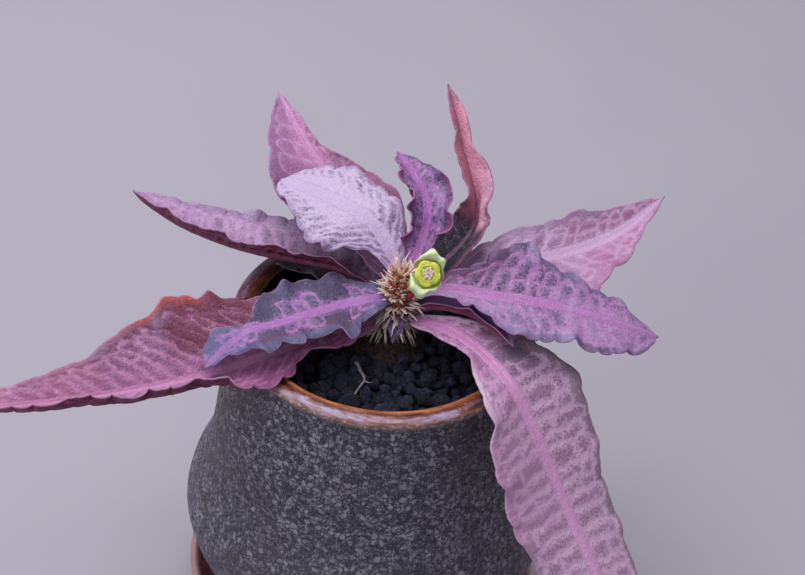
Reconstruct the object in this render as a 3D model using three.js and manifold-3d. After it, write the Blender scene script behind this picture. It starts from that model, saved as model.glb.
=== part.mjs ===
// Potted Euphorbia francoisii: a small caudex plant with waved leaves, in a glazed pot on a saucer.
// Sizes are in millimetres and +Z is up. The origin is the centre of the saucer's flat underside.
// Seen from the front, X runs to the right and Y runs away from the viewer.

import * as THREE from "three";
import { mergeVertices } from "three/addons/utils/BufferGeometryUtils.js";
import Module from "manifold-3d";

const wasm = await Module();
wasm.setup();

// Driving dimensions
const GAP = 0.3;                 // clearance between nested or resting pieces
const RIM_HEIGHT = 82;           // top of the pot's lip above the ground
const ROUND_SIDES = 36;          // sides of the pot and the saucer
const SAUCER_HEIGHT = 10;
const SAUCER_RADIUS = 40.5;
const SAUCER_FOOT = 31;
const SAUCER_WALL = 2.6;
const DRAIN_RADIUS = 4;
const SOIL_DEPTH = 6.6;          // from the lip's top down to the bed that carries the grains
const SOIL_RADIUS = 28.4;        // of the bed at its top
const GRAIN_COUNT = 76;
const GRAIN_RADIUS = [2.3, 3.2];
const GRAIN_REACH = 25;          // how far from the middle the outermost grains lie
const BLADE = 0.8;               // leaf thickness at the margin
const RIB = 0.9;                 // extra thickness at the midrib
const STEM_LEAN = 0.1;           // sideways shift of the stem for each millimetre of height
const SPINE_LENGTH = [3.4, 5.2]; // outside the stem
const SPINE_RADIUS = 0.48;

const group = new THREE.Group();

// Small helpers

function seededRandom(seed) {
  let state = seed >>> 0;
  return () => {
    state = (state + 0x6d2b79f5) >>> 0;
    let mixed = Math.imul(state ^ (state >>> 15), state | 1);
    mixed ^= mixed + Math.imul(mixed ^ (mixed >>> 7), mixed | 61);
    return ((mixed ^ (mixed >>> 14)) >>> 0) / 4294967296;
  };
}

const between = (range, share) => range[0] + (range[1] - range[0]) * share;

const radians = (degrees) => THREE.MathUtils.degToRad(degrees);

function toSolid(geometry) {
  const bare = geometry.index ? geometry.toNonIndexed() : geometry.clone();
  bare.deleteAttribute("normal");
  bare.deleteAttribute("uv");
  const merged = mergeVertices(bare, 1e-5);
  return new wasm.Manifold(new wasm.Mesh({
    numProp: 3,
    vertProperties: new Float32Array(merged.attributes.position.array),
    triVerts: new Uint32Array(merged.index.array),
  }));
}

function toGeometry(solid) {
  const mesh = solid.getMesh();
  const geometry = new THREE.BufferGeometry();
  geometry.setAttribute("position", new THREE.BufferAttribute(new Float32Array(mesh.vertProperties), 3));
  geometry.setIndex(new THREE.BufferAttribute(new Uint32Array(mesh.triVerts), 1));
  return geometry;
}

// Cuts can leave scraps, so only the largest body is kept.
function largestBody(solid) {
  const bodies = solid.decompose();
  return bodies.reduce((best, body) => (body.volume() > best.volume() ? body : best));
}

function joinAll(solids) {
  return solids.reduce((whole, solid) => whole.add(solid));
}

// A lathe round Z. The profile's points are [radius, height].
function lathe(profile, sides) {
  const points = profile.map(([radius, height]) => new THREE.Vector2(radius, height));
  const geometry = new THREE.LatheGeometry(points, sides);
  return geometry.rotateX(Math.PI / 2);
}

function addPart(name, geometry, colour, roughness) {
  geometry.computeVertexNormals();
  const material = new THREE.MeshStandardMaterial({ color: colour, roughness, metalness: 0 });
  const mesh = new THREE.Mesh(geometry, material);
  mesh.name = name;
  group.add(mesh);
}

// Saucer

const SAUCER_PROFILE = [
  [0, 0],
  [SAUCER_FOOT, 0],
  [SAUCER_FOOT + 2, 0.5],
  [SAUCER_RADIUS - 2.2, 5.2],
  [SAUCER_RADIUS, SAUCER_HEIGHT - 0.8],
  [SAUCER_RADIUS - 0.9, SAUCER_HEIGHT],
  [SAUCER_RADIUS - 1.9, SAUCER_HEIGHT - 0.7],
  [SAUCER_RADIUS - 2.2 - SAUCER_WALL, 5.4],
  [SAUCER_FOOT + 0.4, SAUCER_WALL + 0.3],
  [SAUCER_FOOT - 1.5, SAUCER_WALL],
  [0, SAUCER_WALL],
];

// Pot: the outside from the foot up to the lip, then the inside down to the floor

const POT_FOOT = SAUCER_WALL + GAP;
const POT_FLOOR = POT_FOOT + 4.4;

const POT_OUTSIDE = [
  [DRAIN_RADIUS, POT_FOOT],
  [25.5, POT_FOOT],
  [27.4, POT_FOOT + 0.7],
  [33.4, 12],
  [37, 17],
  [40, 23],
  [41.5, 29.5],
  [40.4, 36],
  [38, 41.5],
  [36.4, 48],
  [34.7, 63],
  [33.2, 71.5],
  [31.6, 78.4],
  [32.7, 80.3],
  [33.1, 81.2],
  [32.4, 81.8],
  [31.2, RIM_HEIGHT],
];

const POT_INSIDE = [
  [29, 81.9],
  [28.2, 81.3],
  [27.9, 80.2],
  [28.6, 76.5],
  [31.6, 55],
  [33, 46],
  [36.4, 33],
  [34, 20],
  [27, 10],
  [20, POT_FLOOR],
  [DRAIN_RADIUS, POT_FLOOR],
];

const POT_PROFILE = [...POT_OUTSIDE, ...POT_INSIDE, POT_OUTSIDE[0]];

// Leaves
// Each station is [x, y, z, left width, right width, left rise, right rise, left curl, right curl].
// Places are measured from the centre of the lip's top, widths are from the rib to a margin, and left
// is as seen along the leaf from its base. Rise is the angle of a half blade above level, in degrees,
// and curl is how much that angle grows from the rib to the margin.

const LEAVES = {
  leaf_left_low: {
    colour: 0xa05a7a, rows: 30, waves: 7, ruffle: 0.6, scallop: 0.04, phase: 0.1,
    stations: [
      [1, -1, 2.5, 1.5, 1.5, 0, 10, 0, 0],
      [-10, -7.5, 2.5, 5, 9, 0, 15, 0, 0],
      [-17.5, -12.5, 2, 3.5, 12, 0, 18, 0, 0],
      [-24, -17, 1.7, 8, 14.5, -6, 24, 0, 0],
      [-31, -21.5, 1.2, 10.3, 17, -11, 32, 60, 0],
      [-39, -25.5, 0.7, 9.5, 17.5, 0, 38, 85, 0],
      [-47.5, -29, 0.3, 9.5, 14, 0, 42, 70, 0],
      [-57, -32.2, -0.3, 8.5, 9, 0, 42, 85, 0],
      [-67, -35.4, -0.6, 6.5, 5.8, 0, 40, 85, 0],
      [-76.5, -38, -0.6, 4, 3.6, 0, 35, 70, 0],
      [-84, -39.5, -0.2, 0.4, 0.4, 5, 30, 40, 0],
    ],
  },
  leaf_left_mid: {
    colour: 0x5c5580, rows: 22, waves: 5.5, ruffle: 0.8, scallop: 0.09, phase: 0.3,
    stations: [
      [2.5, -1, 8, 1.2, 1.2, 0, 10, 0, 0],
      [-3.5, -3.7, 8.5, 4, 5, 0, 15, 0, 0],
      [-9.7, -6.4, 8.4, 8.5, 8, -5, 15, 0, 0],
      [-16.7, -10.7, 8.2, 6, 9, -5, 15, 0, 0],
      [-22.7, -14.2, 8, 6.5, 8.5, -5, 10, 0, 0],
      [-27.8, -16.8, 7.8, 6.5, 2.4, 0, 10, 0, 0],
      [-32, -21.2, 6.6, 2.8, 5.2, 0, 5, 0, 0],
      [-36, -27.2, 5, 0.4, 0.4, 0, 0, 0, 0],
    ],
  },
  leaf_left_rear: {
    colour: 0x7d5577, rows: 20, waves: 5, ruffle: 0.6, scallop: 0.05, phase: 0.2,
    stations: [
      [2.5, 0, 6, 1.2, 1.2, 30, 20, 0, 0],
      [-8.5, 8.5, 6, 4, 9, 50, 15, 0, 0],
      [-17.6, 11.5, 5.3, 5, 10.5, 58, 20, 0, 0],
      [-26.6, 13.4, 4.8, 4.5, 10, 60, 20, 0, 0],
      [-35.6, 15.2, 5.2, 4, 9, 60, 20, 0, 0],
      [-45, 18.2, 6.2, 4.2, 6.5, 60, 20, 0, 0],
      [-52, 21.7, 7.5, 3, 4.2, 60, 20, 0, 0],
      [-58.5, 26, 9, 0.4, 0.4, 60, 20, 0, 0],
    ],
  },
  leaf_left_shaded: {
    colour: 0x3a2c40, rows: 12, waves: 3, ruffle: 0.5, scallop: 0.05, phase: 0.2,
    stations: [
      [2.5, 0, 3, 1.2, 1.2, 0, 10, 0, 0],
      [-5, 9, 2.4, 3, 3, 0, 10, 0, 0],
      [-12, 12.3, 2.3, 3.4, 3, 0, 10, 0, 0],
      [-19, 13.5, 2.2, 2.6, 2, 0, 10, 0, 0],
      [-25, 13.5, 2.2, 0.4, 0.4, 0, 10, 0, 0],
    ],
  },
  leaf_rear_left: {
    colour: 0x9c5c8a, rows: 18, waves: 4, ruffle: 0.8, scallop: 0.05, phase: 0.6,
    stations: [
      [3, 0.5, 8.5, 1.2, 1.2, 15, 20, 0, 0],
      [-3, 14, 10.5, 8, 7, 10, 20, 0, 0],
      [-9, 23.5, 13, 14, 9, 2, 20, 0, 0],
      [-15, 29.5, 15.5, 14.5, 6, 0, 20, 0, 0],
      [-20.5, 35, 18.5, 11, 3, 5, 20, 0, 0],
      [-25, 42, 21, 5.5, 2, 10, 20, 0, 0],
      [-29, 49.5, 23, 0.4, 0.4, 15, 20, 0, 0],
    ],
  },
  leaf_rear_pale: {
    colour: 0xb7a3c4, rows: 18, waves: 3.5, ruffle: 0.6, scallop: 0.05, phase: 0.8,
    stations: [
      [3, 0, 12, 1.2, 1.2, 0, 20, 0, 0],
      [-0.8, 6, 16, 5, 4, 0, 20, 0, 0],
      [-5, 10.4, 18.5, 12, 8.5, -5, 15, 0, 0],
      [-10.8, 14.2, 19.5, 14, 9, -5, 10, 0, 0],
      [-17.7, 18, 19.5, 8.5, 11, 0, 5, 0, 0],
      [-22.7, 21.2, 18.8, 5, 7.5, 0, 0, 0, 0],
      [-25.5, 23.2, 18, 1, 1, 0, 0, 0, 0],
    ],
  },
  leaf_upright: {
    colour: 0x6f5590, rows: 20, waves: 3.5, ruffle: 1, scallop: 0.1, phase: 0.1,
    stations: [
      [4, -0.5, 13, 1, 1, 10, 15, 0, 0],
      [5.7, 4.2, 16, 3.5, 4, 10, 15, 40, 30],
      [6.7, 7.7, 19, 5, 5.5, 10, 15, 70, 60],
      [6.9, 10.9, 22, 5, 6.5, 10, 15, 70, 40],
      [5.9, 14.5, 24, 6.5, 6, 10, 15, 70, 0],
      [3.6, 18.6, 25.5, 5, 5.2, 10, 15, 60, 0],
      [-0.6, 26.5, 26, 1, 0.8, 10, 15, 0, 0],
    ],
  },
  leaf_rear_tall: {
    colour: 0xa35a80, rows: 20, waves: 4, ruffle: 0.5, scallop: 0.05, phase: 0.1,
    stations: [
      [4.4, 0.6, 7.4, 1.1, 1.1, 20, 20, 0, 0],
      [11.5, 11.2, 8.4, 4, 4.5, 25, 25, 0, 0],
      [16.7, 20.4, 9.5, 6, 5, 40, 40, 0, 0],
      [18, 26.2, 12, 6, 4, 55, 50, 0, 0],
      [16.6, 31, 16, 4.4, 5.4, 50, 50, 0, 0],
      [14, 38.2, 20, 3.6, 3, 50, 50, 0, 0],
      [11.8, 45, 24, 2.6, 2.6, 50, 50, 0, 0],
      [9.3, 52.5, 27.5, 0.4, 0.4, 50, 50, 0, 0],
    ],
  },
  leaf_right_rear: {
    colour: 0xb183b3, rows: 18, waves: 4, ruffle: 0.7, scallop: 0.05, phase: 0.5,
    stations: [
      [5, 0, 3.2, 1.2, 1.2, 20, 0, 0, 0],
      [17, 13, 3.6, 5, 6, 20, 5, 0, 0],
      [26.5, 19, 4.5, 7, 10, 20, 0, 0, 0],
      [36.5, 22, 5, 9, 14, 20, 0, 0, 0],
      [46.5, 27.5, 6, 8.5, 9, 20, 0, 0, 0],
      [53.5, 33, 7.5, 5.6, 3.6, 20, 0, 0, 0],
      [61, 41.5, 10, 0.4, 0.4, 10, 0, 0, 0],
    ],
  },
  leaf_right_front: {
    colour: 0x9a6fa8, rows: 22, waves: 6, ruffle: 0.6, scallop: 0.05, phase: 0.3,
    stations: [
      [4.5, -0.8, 9, 1, 1, 20, 0, 0, 0],
      [14, -0.2, 10.4, 4.5, 2.5, 30, 0, 0, 0],
      [20.8, -1.5, 11, 9.5, 5.4, 28, -4, 0, 0],
      [28.4, -1.3, 10.5, 14.5, 10.2, 20, -12, 0, 0],
      [37, -0.6, 9, 11.5, 9, 10, -12, 0, 0],
      [46, 0.7, 6, 9.5, 9, 5, -15, 0, 0],
      [54.5, 2.7, 2.2, 7.6, 6.2, 0, -18, 0, 0],
      [60, 4.6, -1, 0.6, 0.6, 0, -10, 0, 0],
    ],
  },
  leaf_right_folded: {
    colour: 0x4c3a66, rows: 12, waves: 3, ruffle: 0.3, scallop: 0.04, phase: 0.3,
    stations: [
      [4.5, -1.2, 5.2, 1, 1, 40, 45, 0, 0],
      [11, -0.4, 6, 2.4, 2.2, 45, 52, 0, 0],
      [18.2, -2.5, 6.4, 2.8, 2.6, 45, 55, 0, 0],
      [22.6, -6.1, 6.6, 2.2, 2.2, 42, 52, 0, 0],
      [27.7, -11.6, 6.2, 0.4, 0.4, 40, 45, 0, 0],
    ],
  },
  leaf_front_drooping: {
    colour: 0xa66f9c, rows: 30, waves: 7, ruffle: 0.35, scallop: 0.03, phase: 0.2,
    stations: [
      [4.5, -2, 3, 1.2, 1.2, 10, 10, 0, 0],
      [13, -6.2, 4.3, 4.5, 4.5, 8, 15, 0, 0],
      [20, -11, 3.8, 8, 4.5, 4, 20, 0, 0],
      [27, -18, 1.5, 14.5, 10, 2, 20, 0, 0],
      [32, -22.5, -4.5, 17, 16, 0, 20, 0, 0],
      [37.5, -28, -12.5, 15, 18, -5, 18, 0, 0],
      [43, -34, -20.5, 13.5, 17, -12, 15, 0, 0],
      [49.7, -41.7, -29, 13, 13.5, -18, 10, 0, 0],
      [56, -50, -38, 9.5, 9, -15, 0, 0, 0],
      [61, -57.5, -46, 0.4, 0.4, 0, 0, 0, 0],
    ],
  },
  leaf_front_small: {
    colour: 0x4a3550, rows: 6, waves: 1, ruffle: 0.1, scallop: 0, phase: 0.2,
    stations: [
      [2.8, 1, 3, 1.2, 1.2, 10, 10, 0, 0],
      [2.5, -3.6, 4.4, 1.9, 2, 10, 10, 0, 0],
      [2.4, -6.2, 3, 1.6, 1.6, 10, 10, 0, 0],
      [2.2, -8.8, 1.2, 0.4, 0.4, 10, 10, 0, 0],
    ],
  },
};

const HALF_CELLS = 3;            // cells from the rib to each margin
const LEAST_WIDTH = 0.4;         // from the rib to a margin, at the very tip
const SIDE_LAG = 0.37;           // how far the right margin's waves lag, in waves
const QUICK_RATE = 1.9;          // a smaller, quicker wave runs over the main one
const QUICK_HEIGHT = 0.45;
const QUICK_LOBE = 0.5;
const WAVE_POWER = 2.2;          // how closely the waves keep to the margin

// Catmull-Rom through the stations, evenly spaced from 0 at the base to 1 at the tip.
function stationAt(stations, along) {
  const last = stations.length - 1;
  const place = Math.min(Math.max(along, 0), 1) * last;
  const index = Math.min(Math.floor(place), last - 1);
  const t = place - index;
  return stations[index].map((_, channel) => {
    const b = stations[index][channel];
    const c = stations[index + 1][channel];
    const a = index > 0 ? stations[index - 1][channel] : 2 * b - c;
    const d = index + 2 <= last ? stations[index + 2][channel] : 2 * c - b;
    const square = (2 * a - 5 * b + 4 * c - d) * t * t;
    const cube = (3 * b - a - 3 * c + d) * t * t * t;
    return 0.5 * (2 * b + (c - a) * t + square + cube);
  });
}

// A point of the blade's middle surface. across runs from -1 at the right margin to 1 at the left one.
function bladePoint(leaf, along, across, grow = 0) {
  const step = 1e-3;
  const here = stationAt(leaf.stations, along);
  const before = stationAt(leaf.stations, Math.max(along - step, 0));
  const after = stationAt(leaf.stations, Math.min(along + step, 1));
  const heading = new THREE.Vector3(
    after[0] - before[0], after[1] - before[1], after[2] - before[2]).normalize();
  const left = new THREE.Vector3(-heading.y, heading.x, 0).normalize();
  const up = new THREE.Vector3().crossVectors(heading, left);
  const side = across < 0 ? -1 : 1;
  const share = Math.abs(across);
  const width = Math.max(side > 0 ? here[3] : here[4], LEAST_WIDTH) + grow;
  const rise = radians(side > 0 ? here[5] : here[6]);
  const curl = radians(side > 0 ? here[7] : here[8]) || 1e-4;
  const angle = rise + curl * share;
  const phase = leaf.phase + (side > 0 ? 0 : SIDE_LAG);
  const turn = 2 * Math.PI * (leaf.waves * along + phase);
  const quickTurn = 2 * Math.PI * (QUICK_RATE * leaf.waves * along + 1.7 * phase + 0.2);
  const fade = Math.sqrt(Math.sin(Math.PI * along));
  const scallop = leaf.scallop * share * share * fade;
  const ruffle = leaf.ruffle * share ** WAVE_POWER * fade;
  const reach = width * (1 + scallop * (Math.cos(turn) + QUICK_LOBE * Math.cos(quickTurn))) / curl;
  const wave = ruffle * (Math.sin(turn) + QUICK_HEIGHT * Math.sin(quickTurn));
  const outward = reach * (Math.sin(angle) - Math.sin(rise));
  const upward = reach * (Math.cos(rise) - Math.cos(angle));
  return new THREE.Vector3(here[0], here[1], here[2] + RIM_HEIGHT)
    .addScaledVector(left, side * (outward - wave * Math.sin(angle)))
    .addScaledVector(up, upward + wave * Math.cos(angle));
}

function bladeNormal(leaf, along, across, grow) {
  const step = 0.004;
  const before = bladePoint(leaf, Math.max(along - step, 0), across, grow);
  const after = bladePoint(leaf, Math.min(along + step, 1), across, grow);
  const right = bladePoint(leaf, along, Math.max(across - 0.05, -1), grow);
  const left = bladePoint(leaf, along, Math.min(across + 0.05, 1), grow);
  return after.sub(before).cross(left.sub(right)).normalize();
}

// A closed slab between rows of points on its upper face and on its lower one, both split alike.
function slabGeometry(upperRows, lowerRows) {
  const rows = upperRows.length - 1;
  const columns = upperRows[0].length - 1;
  const positions = upperRows.flatMap((points, row) => [...points, ...lowerRows[row]].flat());
  const upper = (row, column) => row * 2 * (columns + 1) + column;
  const lower = (row, column) => upper(row, column) + columns + 1;
  const triangles = [];
  const quad = (a, b, c, d) => triangles.push(a, b, c, a, c, d);
  for (let row = 0; row < rows; row += 1) {
    const next = row + 1;
    for (let column = 0; column < columns; column += 1) {
      quad(upper(row, column), upper(next, column), upper(next, column + 1), upper(row, column + 1));
      triangles.push(
        lower(row, column), lower(next, column + 1), lower(next, column),
        lower(row, column), lower(row, column + 1), lower(next, column + 1));
    }
    quad(lower(row, 0), lower(next, 0), upper(next, 0), upper(row, 0));
    quad(upper(row, columns), upper(next, columns), lower(next, columns), lower(row, columns));
  }
  for (let column = 0; column < columns; column += 1) {
    quad(lower(0, column), upper(0, column), upper(0, column + 1), lower(0, column + 1));
    quad(upper(rows, column), lower(rows, column), lower(rows, column + 1), upper(rows, column + 1));
  }
  const geometry = new THREE.BufferGeometry();
  geometry.setAttribute("position", new THREE.Float32BufferAttribute(positions, 3));
  geometry.setIndex(triangles);
  return geometry;
}

// One leaf blade, thickest along its rib. grow swells it on every side.
function bladeSolid(leaf, grow = 0) {
  const upperRows = [];
  const lowerRows = [];
  for (let row = 0; row <= leaf.rows; row += 1) {
    const along = row / leaf.rows;
    const upperPoints = [];
    const lowerPoints = [];
    for (let column = -HALF_CELLS; column <= HALF_CELLS; column += 1) {
      const across = column / HALF_CELLS;
      const middle = bladePoint(leaf, along, across, grow);
      const normal = bladeNormal(leaf, along, across, grow);
      const ribHere = RIB * (1 - 0.5 * along) * Math.max(0, 1 - 3 * Math.abs(across));
      const half = (BLADE + ribHere) / 2 + grow;
      upperPoints.push(middle.clone().addScaledVector(normal, half).toArray());
      lowerPoints.push(middle.clone().addScaledVector(normal, -half).toArray());
    }
    upperRows.push(upperPoints);
    lowerRows.push(lowerPoints);
  }
  return toSolid(slabGeometry(upperRows, lowerRows));
}

// Caudex and stem, as one turned body that leans to the right. Heights are from the lip's top.

const STEM_SIDES = 16;
const CAUDEX_CENTRE = [1, -0.8];
const STEM_PROFILE = [
  [0, -24],
  [4, -23],
  [8, -18],
  [9.4, -12],
  [9.2, -7.5],
  [7.6, -4.6],
  [5, -2.8],
  [3.7, -0.8],
  [3.3, 4],
  [3.1, 9],
  [2.6, 12.5],
  [1.5, 14.6],
  [0, 15.2],
];

const stemShift = (height) => Math.max(0, height + 6) * STEM_LEAN;

function stemBody(grow) {
  const profile = STEM_PROFILE.map(([radius, height], index) => {
    const end = index === 0 ? -grow : grow * (index / (STEM_PROFILE.length - 1)) ** 4;
    return [radius > 0 ? radius + grow : 0, height + end];
  });
  const geometry = lathe(profile, STEM_SIDES);
  const position = geometry.attributes.position;
  for (let i = 0; i < position.count; i += 1) {
    const height = position.getZ(i);
    position.setXYZ(i, position.getX(i) + CAUDEX_CENTRE[0] + stemShift(height),
      position.getY(i) + CAUDEX_CENTRE[1], height + RIM_HEIGHT);
  }
  return toSolid(geometry);
}

// A stipule spine: three sides, two lengths and a point, bent down or up as it grows.
function spineSolid(base, direction, bend, length, radius) {
  const sideways = new THREE.Vector3(0, 0, 1).cross(direction).normalize();
  const normal = new THREE.Vector3().crossVectors(direction, sideways);
  const middle = base.clone().addScaledVector(direction, length * 0.55);
  const tip = middle.clone().addScaledVector(direction, length * 0.45);
  tip.z += bend;
  const ring = (centre, size) => [0, 1, 2].map((corner) => {
    const angle = corner * 2 * Math.PI / 3;
    return centre.clone()
      .addScaledVector(sideways, size * Math.cos(angle))
      .addScaledVector(normal, size * Math.sin(angle));
  });
  const points = [...ring(base, radius), ...ring(middle, radius * 0.75), tip];
  const triangles = [0, 2, 1];
  for (let corner = 0; corner < 3; corner += 1) {
    const next = (corner + 1) % 3;
    triangles.push(corner, next, next + 3, corner, next + 3, corner + 3, corner + 3, next + 3, 6);
  }
  return new wasm.Manifold(new wasm.Mesh({
    numProp: 3,
    vertProperties: new Float32Array(points.flatMap((point) => point.toArray())),
    triVerts: new Uint32Array(triangles),
  }));
}

// Rings of spines from the oldest, which droop, to the youngest, which stand up.
const SPINE_RINGS = 10;
const SPINES_A_RING = 7;
const SPINE_HEIGHTS = [-1.6, 14];
const SPINE_TILTS = [-45, 55];   // degrees above level
const SPINE_ROOTS = [2, 0.8];    // distance of a spine's root from the stem's axis
const SPINE_SUNK = 1.4;          // length inside the stem

function spines() {
  const random = seededRandom(11);
  const solids = [];
  for (let ring = 0; ring < SPINE_RINGS; ring += 1) {
    const share = ring / (SPINE_RINGS - 1);
    for (let spoke = 0; spoke < SPINES_A_RING; spoke += 1) {
      const turn = 2 * Math.PI * (spoke + 0.5 * (ring % 2) + 0.5 * random()) / SPINES_A_RING;
      const height = between(SPINE_HEIGHTS, share) + random() - 0.5;
      const tilt = radians(between(SPINE_TILTS, share) + 24 * (random() - 0.5));
      const direction = new THREE.Vector3(
        Math.cos(turn) * Math.cos(tilt), Math.sin(turn) * Math.cos(tilt), Math.sin(tilt));
      const inside = between(SPINE_ROOTS, Math.max(0, share - 0.6) / 0.4);
      const base = new THREE.Vector3(
        CAUDEX_CENTRE[0] + stemShift(height) + inside * Math.cos(turn),
        CAUDEX_CENTRE[1] + inside * Math.sin(turn), height + RIM_HEIGHT);
      const length = SPINE_SUNK + between(SPINE_LENGTH, random()) * (1 - 0.25 * share);
      solids.push(spineSolid(base, direction, 1.2 * (share - 0.6), length, SPINE_RADIUS));
    }
  }
  return solids;
}

// A round tube along points, closed at both ends.
function tube(points, radius, sides, steps) {
  const curve = new THREE.CatmullRomCurve3(points.map(([x, y, z]) => new THREE.Vector3(x, y, z)));
  const section = new THREE.Shape(Array.from({ length: sides }, (_, corner) => {
    const angle = 2 * Math.PI * corner / sides;
    return new THREE.Vector2(radius * Math.cos(angle), radius * Math.sin(angle));
  }));
  return new THREE.ExtrudeGeometry(section, { steps, extrudePath: curve, bevelEnabled: false });
}

// Flower: two bracts and a cup on one short stalk, which leans to the viewer.

const FLOWER_CENTRE = [7.8, -8.6, RIM_HEIGHT + 20.8];
const FLOWER_FACING = new THREE.Vector3(0.1, -0.72, 0.69).normalize();
const STALK_POINTS = [
  [3.4, -1.4, RIM_HEIGHT + 10.5],
  [4.6, -2.6, RIM_HEIGHT + 13.4],
  [6.1, -5, RIM_HEIGHT + 16.6],
  [7.6, -7.4, RIM_HEIGHT + 19.5],
];
const STALK_RADIUS = 0.8;
const CUP_RADIUS = 2;
const GLAND_COUNT = 5;
const GLAND_RADIUS = 1;

// Turns a shape made round +Z into the flower's own frame, with its X towards the upper bract.
function placeOnFlower(geometry) {
  const upper = new THREE.Vector3(0.12, 0.6, 0.8);
  const side = new THREE.Vector3().crossVectors(FLOWER_FACING, upper).normalize();
  const tilt = new THREE.Vector3().crossVectors(side, FLOWER_FACING);
  const matrix = new THREE.Matrix4().makeBasis(tilt, side, FLOWER_FACING);
  matrix.setPosition(...FLOWER_CENTRE);
  return geometry.applyMatrix4(matrix);
}

// The pair of bracts makes a deep bowl round the glands. turn says where each one's middle lies, and its
// lip is the tongue that leans out beyond the bowl's mouth.
const BRACTS = [
  { turn: -0.25, lip: 1.6, lean: 0.05 },
  { turn: Math.PI * 0.98, lip: 1.7, lean: -0.12 },
];
const BRACT_ROWS = 6;
const BRACT_COLUMNS = 6;
const BRACT_THICKNESS = 0.8;
const BRACT_FOOT = 0.8;          // radius of the bowl at its foot
const BRACT_MOUTH = 3.6;         // radius of the bowl at its mouth
const BRACT_DEPTH = 1.9;         // of the bowl's foot below the flower's centre
const BRACT_HEIGHT = 4.3;        // of the bowl's wall
const BRACT_WRAP = 1.42;         // how far round each one reaches to either side, in radians
const BRACT_WALL = 0.68;         // share of a bract's length that lies in the wall
const LIP_SPREAD = 0.42;

// A point of a bract's middle surface. along is 0 at the foot and 1 at the lip, across is -1 to 1.
function bractPoint({ turn, lip, lean }, along, across) {
  const wall = Math.min(along / BRACT_WALL, 1);
  const over = Math.max(along - BRACT_WALL, 0) / (1 - BRACT_WALL);
  const tongue = lip * Math.exp(-(((across - lean) / LIP_SPREAD) ** 2));
  const bowl = (BRACT_MOUTH - BRACT_FOOT) * Math.sin(Math.PI / 2 * wall) ** 0.8;
  const radius = BRACT_FOOT + bowl + tongue * Math.sin(1.25 * over) + 0.25 * over;
  const side = 1 - 0.55 * Math.abs(across) ** 3;
  const arch = 0.9 * Math.sin(Math.PI * over) * Math.min(tongue, 1) - 0.6 * tongue * over * over;
  const angle = turn + BRACT_WRAP * across;
  return new THREE.Vector3(
    radius * Math.cos(angle), radius * Math.sin(angle),
    BRACT_HEIGHT * side * wall ** 1.4 - BRACT_DEPTH + arch);
}

function bractNormal(bract, along, across) {
  const after = bractPoint(bract, Math.min(along + 0.02, 1), across);
  const before = bractPoint(bract, Math.max(along - 0.02, 0), across);
  const left = bractPoint(bract, along, across + 0.02);
  const right = bractPoint(bract, along, across - 0.02);
  return after.sub(before).cross(left.sub(right)).normalize();
}

function bractSolid(bract) {
  const upperRows = [];
  const lowerRows = [];
  for (let row = 0; row <= BRACT_ROWS; row += 1) {
    const upperPoints = [];
    const lowerPoints = [];
    for (let column = 0; column <= BRACT_COLUMNS; column += 1) {
      const along = row / BRACT_ROWS;
      const across = 2 * column / BRACT_COLUMNS - 1;
      const middle = bractPoint(bract, along, across);
      const normal = bractNormal(bract, along, across);
      upperPoints.push(middle.clone().addScaledVector(normal, BRACT_THICKNESS / 2).toArray());
      lowerPoints.push(middle.clone().addScaledVector(normal, -BRACT_THICKNESS / 2).toArray());
    }
    upperRows.push(upperPoints);
    lowerRows.push(lowerPoints);
  }
  return toSolid(placeOnFlower(slabGeometry(upperRows, lowerRows)));
}

const CUP_PROFILE = [
  [0, -1.3],
  [0.8, -1.3],
  [CUP_RADIUS, 1.5],
  [CUP_RADIUS + 0.1, 2.6],
  [1.2, 2.7],
  [0, 2.5],
];

// The cup with its ring of glands. grow swells it on every side.
function cupSolid(grow) {
  const profile = CUP_PROFILE.map(([radius, height], index) => {
    const rise = index < 2 ? -grow : grow;
    return [radius > 0 ? radius + grow : 0, height + rise];
  });
  const bodies = [toSolid(placeOnFlower(lathe(profile, 10)))];
  for (let gland = 0; gland < GLAND_COUNT; gland += 1) {
    const bead = new THREE.SphereGeometry(GLAND_RADIUS + grow, 6, 4);
    bead.scale(0.9, 1.25, 0.6);
    bead.translate(CUP_RADIUS + 0.1, 0, 2.5);
    bead.rotateZ(2 * Math.PI * (gland + 0.5) / GLAND_COUNT);
    bodies.push(toSolid(placeOnFlower(bead)));
  }
  return joinAll(bodies);
}

// Soil: a bed that fills the pot, with grains half sunk in its top

const SOIL_TOP = RIM_HEIGHT - SOIL_DEPTH;
const SOIL_SIDES = 28;
const SOIL_INSET = GAP + 0.25;   // the bed has fewer sides than the pot, so it needs a wider gap
const FLOOR_BEND = 12;           // below this height the pot's wall turns in to its floor

function soilBed() {
  const wall = POT_INSIDE.filter(([radius, height]) => height < SOIL_TOP && radius > DRAIN_RADIUS);
  const lift = (height) => (height < FLOOR_BEND ? SOIL_INSET : 0);
  const profile = [
    [0, SOIL_TOP],
    [SOIL_RADIUS - SOIL_INSET, SOIL_TOP],
    ...wall.map(([radius, height]) => [radius - SOIL_INSET, height + lift(height)]),
    [0, POT_FLOOR + SOIL_INSET],
  ];
  return toSolid(lathe(profile.reverse(), SOIL_SIDES));
}

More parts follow.
